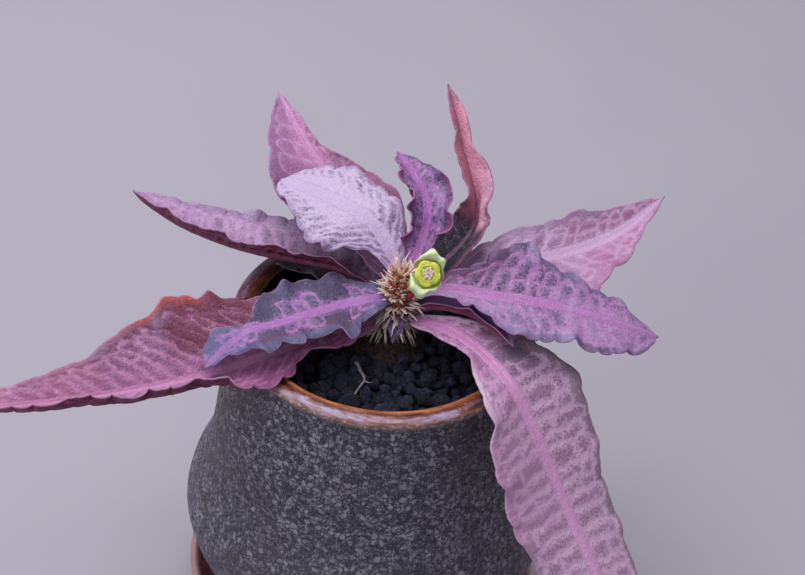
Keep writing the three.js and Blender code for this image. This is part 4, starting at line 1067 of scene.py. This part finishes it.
SOIL_DEPTH = 6.6            # of the grit below the lip
SOIL_TOP = RIM_HEIGHT - SOIL_DEPTH
SOIL_RADIUS = 28.4
BED_RADIUS = SOIL_RADIUS - 0.5
BED_RINGS = 30
BED_SIDES = 90
BED_TONE = 0.3
BED_SEED = 23
GRAIN_COUNT = 76
GRAIN_RADIUS = (2.3, 3.2)
GRAIN_REACH = 25
GRAIN_SHRINK = 0.92         # against the part's own grains, which makes room for the bumps
GRAIN_CUTS = 12             # worn flats on each grain
GRAIN_SEED = 5
FILL_COUNT = 210            # smaller grains between them
FILL_RADIUS = (1.1, 1.9)
FILL_REACH = SOIL_RADIUS - 2
FILL_SHIFT = 1.3
FILL_SEED = 17
SHAPE_SEEDS = (100, 400)    # of the first grain and of the first small one

SOIL_WALL = [
    [BED_RADIUS, SOIL_TOP - 0.5], [31, 55], [32.4, 46], [35.8, 33], [33.4, 20.5], [26.4, 10.6],
    [19.4, POT_FLOOR + 0.6], [0.05, POT_FLOOR + 0.6],
]


def add_grain(sheet, shape, size, seed, stretch, turn_x, turn_z, centre, tone):
    """A lump of lava: a ball with worn flats cut into it."""
    points, faces = shape
    cuts = np.random.RandomState(seed)
    worn = points * (1 + 0.12 * lump(points * 0.8, seed, 2))[:, None]
    for way, depth in zip(unit(cuts.normal(size=(GRAIN_CUTS, 3))), cuts.uniform(0.55, 0.9, GRAIN_CUTS)):
        worn = worn - 0.92 * np.maximum(worn @ way - depth, 0)[:, None] * way
    worn = worn * (1.09 + 0.09 * lump(points * 2.4, seed + 1, 3))[:, None] * size * np.array(stretch)
    cos, sin = math.cos(turn_x), math.sin(turn_x)
    worn = spun(worn @ np.array([[1, 0, 0], [0, cos, sin], [0, -sin, cos]]), turn_z)
    sheet.add(worn + centre, [faces], tone=tone)


def build_soil():
    sheet = Sheet(("tone",))
    draw = seeded_random(GRAIN_SEED)
    fine, coarse = ball(4), ball(3)
    for index in range(GRAIN_COUNT):
        size = GRAIN_SHRINK * between(GRAIN_RADIUS, draw())
        shift = 0.25 * draw()
        stretch = (0.85 + 0.3 * draw(), 0.85 + 0.3 * draw(), 0.7 + 0.3 * draw())
        tilts = (math.pi * draw(), math.pi * draw())
        centre = spiral_place(index, GRAIN_COUNT, GRAIN_REACH, shift, SOIL_TOP + 0.9 * draw())
        add_grain(sheet, fine, size, SHAPE_SEEDS[0] + index, stretch, *tilts, centre, (index * 0.618) % 1)
    draws = np.random.RandomState(FILL_SEED)
    for index in range(FILL_COUNT):
        size = draws.uniform(*FILL_RADIUS)
        height = SOIL_TOP + draws.uniform(0.3, 1.7)
        centre = spiral_place(index, FILL_COUNT, FILL_REACH, FILL_SHIFT, height)
        add_grain(sheet, coarse, size, SHAPE_SEEDS[1] + index, draws.uniform(0.8, 1.15, 3),
                  *draws.uniform(0, 3, 2), centre, draws.uniform())
    radius = np.linspace(0.05, BED_RADIUS, BED_RINGS)[:, None]
    x, y = radius * np.cos(turns(BED_SIDES)), radius * np.sin(turns(BED_SIDES))
    bed = np.stack([x, y, SOIL_TOP - 0.4 + 0.35 * ripple(x / 2, y / 2, BED_SEED)], -1)
    sheet.add(bed, [grid_faces(BED_RINGS, BED_SIDES, closed=True)], tone=BED_TONE)
    wall, _ = lathe(np.array(SOIL_WALL), BED_SIDES)
    sheet.add(wall, [grid_faces(len(SOIL_WALL), BED_SIDES, closed=True)], tone=BED_TONE)

    g = Graph("grit", roughness=0.8, specular=0.35)
    tone = g.field("tone")
    colour = g.paint((0.005, 0.005, 0.013), (0.030, 0.032, 0.075), tone, 0.0, 1.0)
    colour = g.paint(colour, (0.09, 0.03, 0.02), tone, 0.965, 0.975, 0.8)
    colour = g.paint(colour, (0.060, 0.064, 0.140), g.noise(1.2, 5, 0.7), 0.48, 0.70, 0.8)
    pores = g.cells(2.6, g.bent(g.place, 1.5, 0.3, detail=1.0), "SMOOTH_F1")
    material = g.finish(colour, g.step(pores, 0.05, 0.4) + g.noise(3.0, 4, 0.7), 0.45)
    sheet.piece("soil_grit", "soil", [material])


# Tubes

def add_tube(sheet, path, radii, sides, slot=0, flat=1.0, **fields):
    """A closed tube along a path. flat squashes it across one direction."""
    path = np.asarray(path, float)
    rows = len(path)
    ways = unit(np.gradient(path, axis=0))
    aside = np.cross(ways, np.array([0.13, 0.21, 1.0]))
    aside = unit(np.where(np.linalg.norm(aside, axis=1, keepdims=True) < 0.05, [1.0, 0, 0], aside))
    over = np.cross(ways, aside)
    turn = turns(sides)[None, :, None]
    rings = aside[:, None] * np.cos(turn) + over[:, None] * flat * np.sin(turn)
    radii = np.broadcast_to(np.asarray(radii, float), (rows,))[:, None, None]
    caps = [np.arange(sides)[None, ::-1], (np.arange(sides) + (rows - 1) * sides)[None, :]]
    spread = {name: np.repeat(np.broadcast_to(values, rows), sides) for name, values in fields.items()}
    sheet.add(path[:, None] + radii * rings,
              [grid_faces(rows, sides, closed=True, flipped=True), *caps], slot, **spread)


# Rootlet

ROOTLET_POINTS = [
    [-5.2, -10.8, RIM_HEIGHT - 3.4], [-4.2, -12.8, RIM_HEIGHT - 3.3], [-3.2, -15.4, RIM_HEIGHT - 3.3],
    [-3.8, -18.6, RIM_HEIGHT - 3.5], [-5.4, -21.6, RIM_HEIGHT - 3.8],
]
ROOTLET_RADIUS = 0.42
ROOTLET_STEPS = 60
ROOTLET_SIDES = 12
FORK_STEP = 34              # where the side root leaves
FORK_POINTS = [[0, 0, 0], [1.0, -0.5, 0.1], [1.7, -0.3, 0.0]]
FORK_RADII = (0.22, 0.08)
FORK_STEPS = 14
FORK_SIDES = 8


def build_rootlet():
    sheet = Sheet()
    path = curve(ROOTLET_POINTS, ROOTLET_STEPS)
    share = np.linspace(0, 1, ROOTLET_STEPS)
    path[:, 0] += 0.18 * np.sin(14 * share)
    path[:, 2] += 0.08 * np.sin(19 * share + 1)
    radii = ROOTLET_RADIUS * (0.95 - 0.55 * share + 0.1 * np.sin(31 * share))
    add_tube(sheet, path, radii, ROOTLET_SIDES)
    fork = curve(path[FORK_STEP] + np.array(FORK_POINTS), FORK_STEPS)
    add_tube(sheet, fork, np.linspace(*FORK_RADII, FORK_STEPS), FORK_SIDES)
    g = Graph("dry_root", roughness=0.8, specular=0.3)
    colour = g.mix(g.noise(2.0, 4), (0.13, 0.11, 0.115), (0.32, 0.28, 0.29))
    sheet.piece("rootlet_strand", "rootlet", [g.finish(colour, g.noise(5.0), 0.08)])


# Stem, caudex and stipule spines. Heights are from the lip's top.

STEM_LEAN = 0.1
CAUDEX_CENTRE = (1, -0.8)
STEM_PROFILE = [
    [0.02, -24], [4, -23], [8, -18], [9.4, -12], [9.2, -7.5], [7.6, -4.6], [5, -2.8], [3.7, -0.8],
    [3.3, 4], [3.1, 9], [2.6, 12.5], [1.5, 14.6], [0.02, 15.2],
]
STEM_SIDES = 64
STEM_SPACING = 0.5
BARK_SEEDS = (51, 52)
SPINE_RINGS = 10
SPINES_A_RING = 7
SPINE_HEIGHTS = (-1.6, 14)
SPINE_TILTS = (-45, 55)
SPINE_ROOTS = (2, 0.8)
SPINE_SUNK = 1.4
SPINE_LENGTH = (3.4, 5.2)
SPINE_RADIUS = (0.36, 0.56)
SPINE_SEEDS = (11, 29)      # of the part's own spines, and of what is added to them
CLAW_SIDES = 5
CLAW_STEPS = 9
CLAW_FLATNESS = 0.6
PLATE_SIDES = 6
PLATE_WIDTH = 0.65
PLATE_TAPER = (1.0, 1.1, 1.0, 0.75, 0.3)
PLATE_FLATNESS = 0.3
HORN, BUD = 1, 2            # places of two materials of the stem; 0 is the bark
BARE_HEIGHTS = (-0.5, 3.4)  # between these the front of the stem has no combs, so the smallest leaf shows
BARE_COSINE = 0.88
SCALE_COUNT = 46
SCALE_HEIGHTS = (3, 14.4)
SCALE_ROOTS = (2.6, 1.2)
SCALE_LENGTH = (1.6, 2.5)
SCALE_WIDTH = 0.75
SCALE_STEPS = 6
BUDS = ((-1.3, -2.7, 12.6, 0.75), (2.2, -3.2, 10.6, 0.8))       # each one's x, y, height and size


def on_stem(height, x, y):
    """A place at this height and at x, y from the leaning stem's axis."""
    shift = max(0, height + 6) * STEM_LEAN
    return np.array([CAUDEX_CENTRE[0] + shift + x, CAUDEX_CENTRE[1] + y, height + RIM_HEIGHT])


def build_stem():
    sheet = Sheet(("reach", "age"))
    points, faces = lathe(smooth_profile(STEM_PROFILE, STEM_SPACING), STEM_SIDES)
    points = points.reshape(-1, 3)
    rough = 1 + 0.035 * lump(points / 3.0, BARK_SEEDS[0], 3) + 0.02 * lump(points / 0.9, BARK_SEEDS[1], 2)
    places = [on_stem(height, swell * x, swell * y) for (x, y, height), swell in zip(points, rough)]
    sheet.add(places, faces)
    add_spines(sheet)
    shape, faces = ball(3)
    for x, y, height, size in BUDS:
        sheet.add(shape * size * np.array([0.8, 0.8, 1.3]) + on_stem(height, x, y), [faces], BUD)
    sheet.piece("stem_body", "stem", [bark_material(), spine_material(), bud_material()])


def add_spines(sheet):
    """The part's own spines, each made a small comb, with smaller combs between them, and then scales."""
    draw = seeded_random(SPINE_SEEDS[0])
    draws = np.random.RandomState(SPINE_SEEDS[1])
    for ring in range(SPINE_RINGS):
        share = ring / (SPINE_RINGS - 1)
        for spoke in range(SPINES_A_RING):
            turn = 2 * math.pi * (spoke + 0.5 * (ring % 2) + 0.5 * draw()) / SPINES_A_RING
            height = between(SPINE_HEIGHTS, share) + draw() - 0.5
            tilt = math.radians(between(SPINE_TILTS, share) + 24 * (draw() - 0.5))
            length = SPINE_SUNK + between(SPINE_LENGTH, draw()) * (1 - 0.25 * share)
            add_comb(sheet, share, turn, height, tilt, length, draws)
            for _ in range(2 if share < 0.8 else 0):
                add_comb(sheet, share, turn + draws.uniform(0.2, 0.75), height + draws.uniform(-0.9, 0.9),
                         tilt + draws.uniform(-0.4, 0.4), length * draws.uniform(0.5, 0.85), draws)
    for index in range(SCALE_COUNT):
        add_scale(sheet, (index + 0.5) / SCALE_COUNT, 2.4 * index, draws)


def spine_root(share, turn, height, roots):
    inside = between(roots, max(0, share - 0.6) / 0.4)
    return on_stem(height, inside * math.cos(turn), inside * math.sin(turn))


def outward_way(turn, tilt):
    return np.array([math.cos(turn) * math.cos(tilt), math.sin(turn) * math.cos(tilt), math.sin(tilt)])


def add_comb(sheet, share, turn, height, tilt, length, draws):
    """A flat horny plate that splits into two to four claws, which bend and taper to points."""
    if BARE_HEIGHTS[0] < height < BARE_HEIGHTS[1] and -math.sin(turn) > BARE_COSINE:
        return
    root = spine_root(share, turn, height, SPINE_ROOTS)
    age = share + draws.uniform(-0.12, 0.12)
    bend = 4.6 * (share - 0.66) + draws.uniform(-0.8, 0.8)
    teeth = draws.randint(2, 5) if share < 0.85 else 2
    steps = np.linspace(0, 1, len(PLATE_TAPER))
    plate = root + outward_way(turn, tilt) * (0.62 * length * steps)[:, None]
    plate[:, 2] += bend * (0.6 * steps) ** 2.2
    add_tube(sheet, plate, PLATE_WIDTH * np.array(PLATE_TAPER), PLATE_SIDES, HORN, PLATE_FLATNESS,
             reach=0.15 + 0.6 * steps, age=age)
    steps = np.linspace(0, 1, CLAW_STEPS)
    for tooth in range(teeth):
        fan = 2 * tooth / (teeth - 1) - 1
        way = outward_way(turn + fan * draws.uniform(0.3, 0.9), tilt + draws.uniform(-0.3, 0.3))
        reach = length * (1.10 - 0.2 * share - 0.35 * abs(fan) * draws.uniform(0.4, 1))
        aside = np.array([-way[1], way[0], 0]) * draws.uniform(-2.2, 2.2)
        path = root + way * (reach * steps)[:, None] + np.outer(steps ** 2, np.array([0, 0, bend]) + aside)
        radii = draws.uniform(*SPINE_RADIUS) * (1.02 - steps) ** 0.65
        add_tube(sheet, path, radii, CLAW_SIDES, HORN, CLAW_FLATNESS, reach=steps, age=age)


def add_scale(sheet, share, turn, draws):
    """A small bract-like scale, pressed to the stem between the combs."""
    root = spine_root(share, turn, between(SCALE_HEIGHTS, share), SCALE_ROOTS)
    steps = np.linspace(0, 1, SCALE_STEPS)
    way = outward_way(turn + draws.uniform(-0.3, 0.3), math.radians(draws.uniform(15, 60)))
    path = root + way * (draws.uniform(*SCALE_LENGTH) * steps)[:, None]
    path[:, 2] += 0.5 * steps ** 2
    add_tube(sheet, path, SCALE_WIDTH * np.sqrt(1.03 - steps ** 1.5), PLATE_SIDES, HORN, PLATE_FLATNESS,
             reach=0.35 * steps, age=share)


def bark_material():
    g = Graph("stem_bark", roughness=0.8, specular=0.2)
    fibre = g.noise(1.4, 5, 0.7, g.scaled(g.place, (1.0, 1.0, 0.45)))
    # Low on the stem the bark is near black: dark brown bark, darkened further as painted shade under the
    # combs and leaves; higher up it turns orange-brown.
    colour = g.paint((0.014, 0.009, 0.010), (0.075, 0.046, 0.034), fibre, 0.35, 0.68)
    warm = g.paint((0.11, 0.030, 0.016), (0.36, 0.14, 0.07), fibre, 0.35, 0.68)
    colour = g.paint(colour, warm, g.part("Z"), RIM_HEIGHT + 3, RIM_HEIGHT + 7)
    return g.finish(colour, fibre, 0.35)


def spine_material():
    """Cream claws on orange-brown plates, grey-brown low on the stem where they are old."""
    g = Graph("spine_horn", roughness=0.5, specular=0.35)
    reach = g.field("reach")
    vary = g.noise(1.1)
    young = g.paint((0.62, 0.25, 0.12), (0.92, 0.80, 0.72), reach, 0.25, 0.60)
    young = g.paint(young, (0.74, 0.40, 0.23), vary, 0.50, 0.66, 0.5)
    old = g.paint((0.17, 0.125, 0.115), (0.72, 0.62, 0.56), reach, 0.25, 0.75)
    old = g.paint(old, (0.32, 0.185, 0.11), vary, 0.50, 0.70, 0.6)
    colour = g.paint(old, young, g.field("age") + vary * 0.4 - 0.2, 0.32, 0.62)
    return g.finish(colour, g.noise(4.0), 0.06)


def bud_material():
    g = Graph("bud_red", roughness=0.35, Subsurface_Weight=0.2, Subsurface_Scale=0.0008)
    return g.finish(g.mix(g.noise(1.6), (0.22, 0.008, 0.020), (0.46, 0.03, 0.03)), g.noise(3.0), 0.05)


# Flower

FLOWER_CENTRE = np.array([7.8, -8.6, RIM_HEIGHT + 20.8])
FLOWER_FACING = unit(np.array([0.1, -0.72, 0.69]))
FLOWER_UPPER = np.array([0.12, 0.6, 0.8])
STALK_POINTS = [
    [3.4, -1.4, RIM_HEIGHT + 10.5], [4.6, -2.6, RIM_HEIGHT + 13.4], [6.1, -5, RIM_HEIGHT + 16.6],
    [7.6, -7.4, RIM_HEIGHT + 19.5],
]
STALK_RADII = (0.8, 0.68)
STALK_STEPS = 24
STALK_SIDES = 16
BRACTS = ((-0.25, 1.9, 0.05), (math.pi * 0.98, 1.9, -0.12))     # each one's turn, lip, and how its lip leans
BRACT_THICKNESS = 0.35
BRACT_FOOT = 0.8            # radius of the bowl that the pair makes round the glands, at its foot
BRACT_MOUTH = 3.3           # and at its mouth
BRACT_WRAP = 1.42           # how far round each one reaches to either side, in radians
BRACT_WALL = 0.68           # share of a bract's length that lies in the bowl's wall
BRACT_ROWS = 46
BRACT_COLUMNS = 65
LIP_SPREAD = 0.42
CUP_RADIUS = 2
CUP_SIDES = 48
CUP_SPACING = 0.2
CUP_OUTLINE = [
    [0.02, -1.3], [0.8, -1.3], [CUP_RADIUS, 1.5], [CUP_RADIUS + 0.1, 2.5], [1.7, 2.85], [1.3, 2.6],
    [0.02, 2.5],
]
GLAND_COUNT = 5
GLAND_SIZE = (0.76, 1.60, 0.40)
GLAND_HEIGHT = 2.5
GLAND_SEED = 61
ANTHER_COUNT = 14
ANTHER_SIZE = (0.384, 0.288, 0.256)
ANTHER_REACH = 1.05
ANTHER_HEIGHT = 2.3
ANTHER_SEED = 41
FILAMENT_RADIUS = 0.13
FILAMENT_STEPS = 5
FILAMENT_SIDES = 6


def on_flower(points):
    """Places points in the flower's own axes: to the upper bract, to its side, and where it faces."""
    side = unit(np.cross(FLOWER_FACING, FLOWER_UPPER))
    axes = np.stack([np.cross(side, FLOWER_FACING), side, FLOWER_FACING])
    return np.asarray(points, float) @ axes + FLOWER_CENTRE


def bract_middle(along, across, lip, lean):
    """along is 0 at the foot and 1 at the lip, across is -1 to 1 round the bowl."""
    wall = np.minimum(along / BRACT_WALL, 1)
    over = np.maximum(along - BRACT_WALL, 0) / (1 - BRACT_WALL)
    tongue = lip * np.exp(-((across - lean) / LIP_SPREAD) ** 2)
    radius = BRACT_FOOT + (BRACT_MOUTH - BRACT_FOOT) * np.sin(np.pi / 2 * wall) ** 0.8
    radius = radius + tongue * np.sin(1.25 * over) + 0.15 * over
    height = 4.0 * (1 - 0.55 * np.abs(across) ** 3) * wall ** 1.4 - 1.9
    height = height + 0.9 * np.sin(np.pi * over) * np.minimum(tongue, 1) - 0.6 * tongue * over ** 2
    crimp = 0.16 * np.sin(7 * across + 4 * along) + 0.11 * np.sin(15 * across - 6 * along)
    crimp = crimp + 0.45 * over * np.sin(11 * (across - lean)) * np.exp(-((across - lean) / 0.5) ** 2)
    radius = radius + crimp * along
    turn = BRACT_WRAP * across + 0.2 * lean * over * tongue
    return np.stack([radius * np.cos(turn), radius * np.sin(turn), height + 0.7 * crimp * along], -1)


def build_bracts():
    sheet = Sheet(("reach",))
    along, across = np.meshgrid(
        np.linspace(0, 1, BRACT_ROWS), np.linspace(-1, 1, BRACT_COLUMNS), indexing="ij")
    for turn, lip, lean in BRACTS:
        middle = bract_middle(along, across, lip, lean)
        half = 0.5 * BRACT_THICKNESS * (1 - 0.6 * np.maximum(along, np.abs(across)) ** 8)
        aside = normals(middle) * half[..., None]
        points, faces = slab(middle + aside, middle - aside)
        sheet.add(on_flower(spun(points, turn)), faces, reach=np.tile(along.ravel(), 2))
    add_tube(sheet, curve(STALK_POINTS, STALK_STEPS), np.linspace(*STALK_RADII, STALK_STEPS), STALK_SIDES)
    g = Graph("bract_green", roughness=0.45, specular=0.4, Subsurface_Weight=0.3, Subsurface_Scale=0.0015)
    cloud = g.noise(0.7)
    colour = g.paint((0.60, 0.66, 0.12), (0.68, 0.80, 0.48), g.field("reach"), 0.35, 0.80)
    colour = g.paint(colour, (0.72, 0.76, 0.58), cloud, 0.45, 0.72, 0.6)
    colour = g.paint(colour, (0.46, 0.46, 0.10), g.noise(1.0), 0.54, 0.70, 0.7)
    colour = g.paint(colour, (0.52, 0.38, 0.20), g.noise(1.6), 0.62, 0.76, 0.5)
    sheet.piece("flower_bract_pair", "flower_bracts", [g.finish(colour, cloud, 0.15)])


def build_cup():
    sheet = Sheet()
    points, faces = lathe(smooth_profile(CUP_OUTLINE, CUP_SPACING), CUP_SIDES)
    sheet.add(on_flower(points), faces)
    shape, faces = ball(3)
    for gland in range(GLAND_COUNT):
        bead = shape * np.array(GLAND_SIZE) * (1 + 0.10 * lump(shape * 1.6, GLAND_SEED + gland, 2))[:, None]
        bead[:, 0] += CUP_RADIUS + 0.08 - 0.20 * bead[:, 1] ** 2
        dimple = 0.12 * np.exp(-((bead[:, 0] - CUP_RADIUS) / 0.4) ** 2)
        bead[:, 2] += GLAND_HEIGHT - dimple * (bead[:, 2] > 0)
        sheet.add(on_flower(spun(bead, 2 * math.pi * (gland + 0.5) / GLAND_COUNT)), [faces])
    draws = np.random.RandomState(ANTHER_SEED)
    for index in range(ANTHER_COUNT):
        foot = spiral_place(index, ANTHER_COUNT, ANTHER_REACH, 0, ANTHER_HEIGHT)
        tip = foot * [1.1, 1.1, 1] + [0, 0, draws.uniform(0.4, 0.8)]
        filament = curve([foot, (foot + tip) / 2, tip], FILAMENT_STEPS)
        add_tube(sheet, on_flower(filament), FILAMENT_RADIUS, FILAMENT_SIDES, 1)
        sheet.add(on_flower(shape * np.array(ANTHER_SIZE) + tip), [faces], 1)
    g = Graph("cup_yellow", roughness=0.3, Subsurface_Weight=0.25, Subsurface_Scale=0.0012)
    colour = g.paint((0.60, 0.64, 0.07), (0.88, 0.84, 0.14), g.noise(0.9), 0.35, 0.7)
    yellow = g.finish(colour, g.noise(3.0), 0.06)
    g = Graph("anther_cream", roughness=0.55, specular=0.35)
    cream = g.finish(g.mix(g.noise(1.8), (0.70, 0.56, 0.42), (0.86, 0.72, 0.66)), g.noise(6.0), 0.05)
    sheet.piece("flower_cup_body", "flower_cup", [yellow, cream])


# Floor

def add_floor():
    mesh = bpy.data.meshes.new("floor")
    reach = FLOOR_REACH * MM
    corners = [(-reach, -reach, 0), (reach, -reach, 0), (reach, reach, 0), (-reach, reach, 0)]
    mesh.from_pydata(corners, [], [(0, 1, 2, 3)])
    floor = linked("floor", mesh)
    g = Graph("floor_plain", roughness=0.9, specular=0.1)
    colour = g.mix(g.noise(0.012, 2, 0.5), (0.41, 0.385, 0.455), (0.45, 0.425, 0.49))
    mesh.materials.append(g.finish(colour))


add_camera()
add_light()
add_floor()
build_saucer()
build_pot()
build_soil()
build_rootlet()
build_stem()
build_bracts()
build_cup()
for number, (leaf_name, leaf_values) in enumerate(LEAVES.items()):
    build_leaf(leaf_name, leaf_values, SEEDS_A_LEAF * number + FIRST_LEAF_SEED)
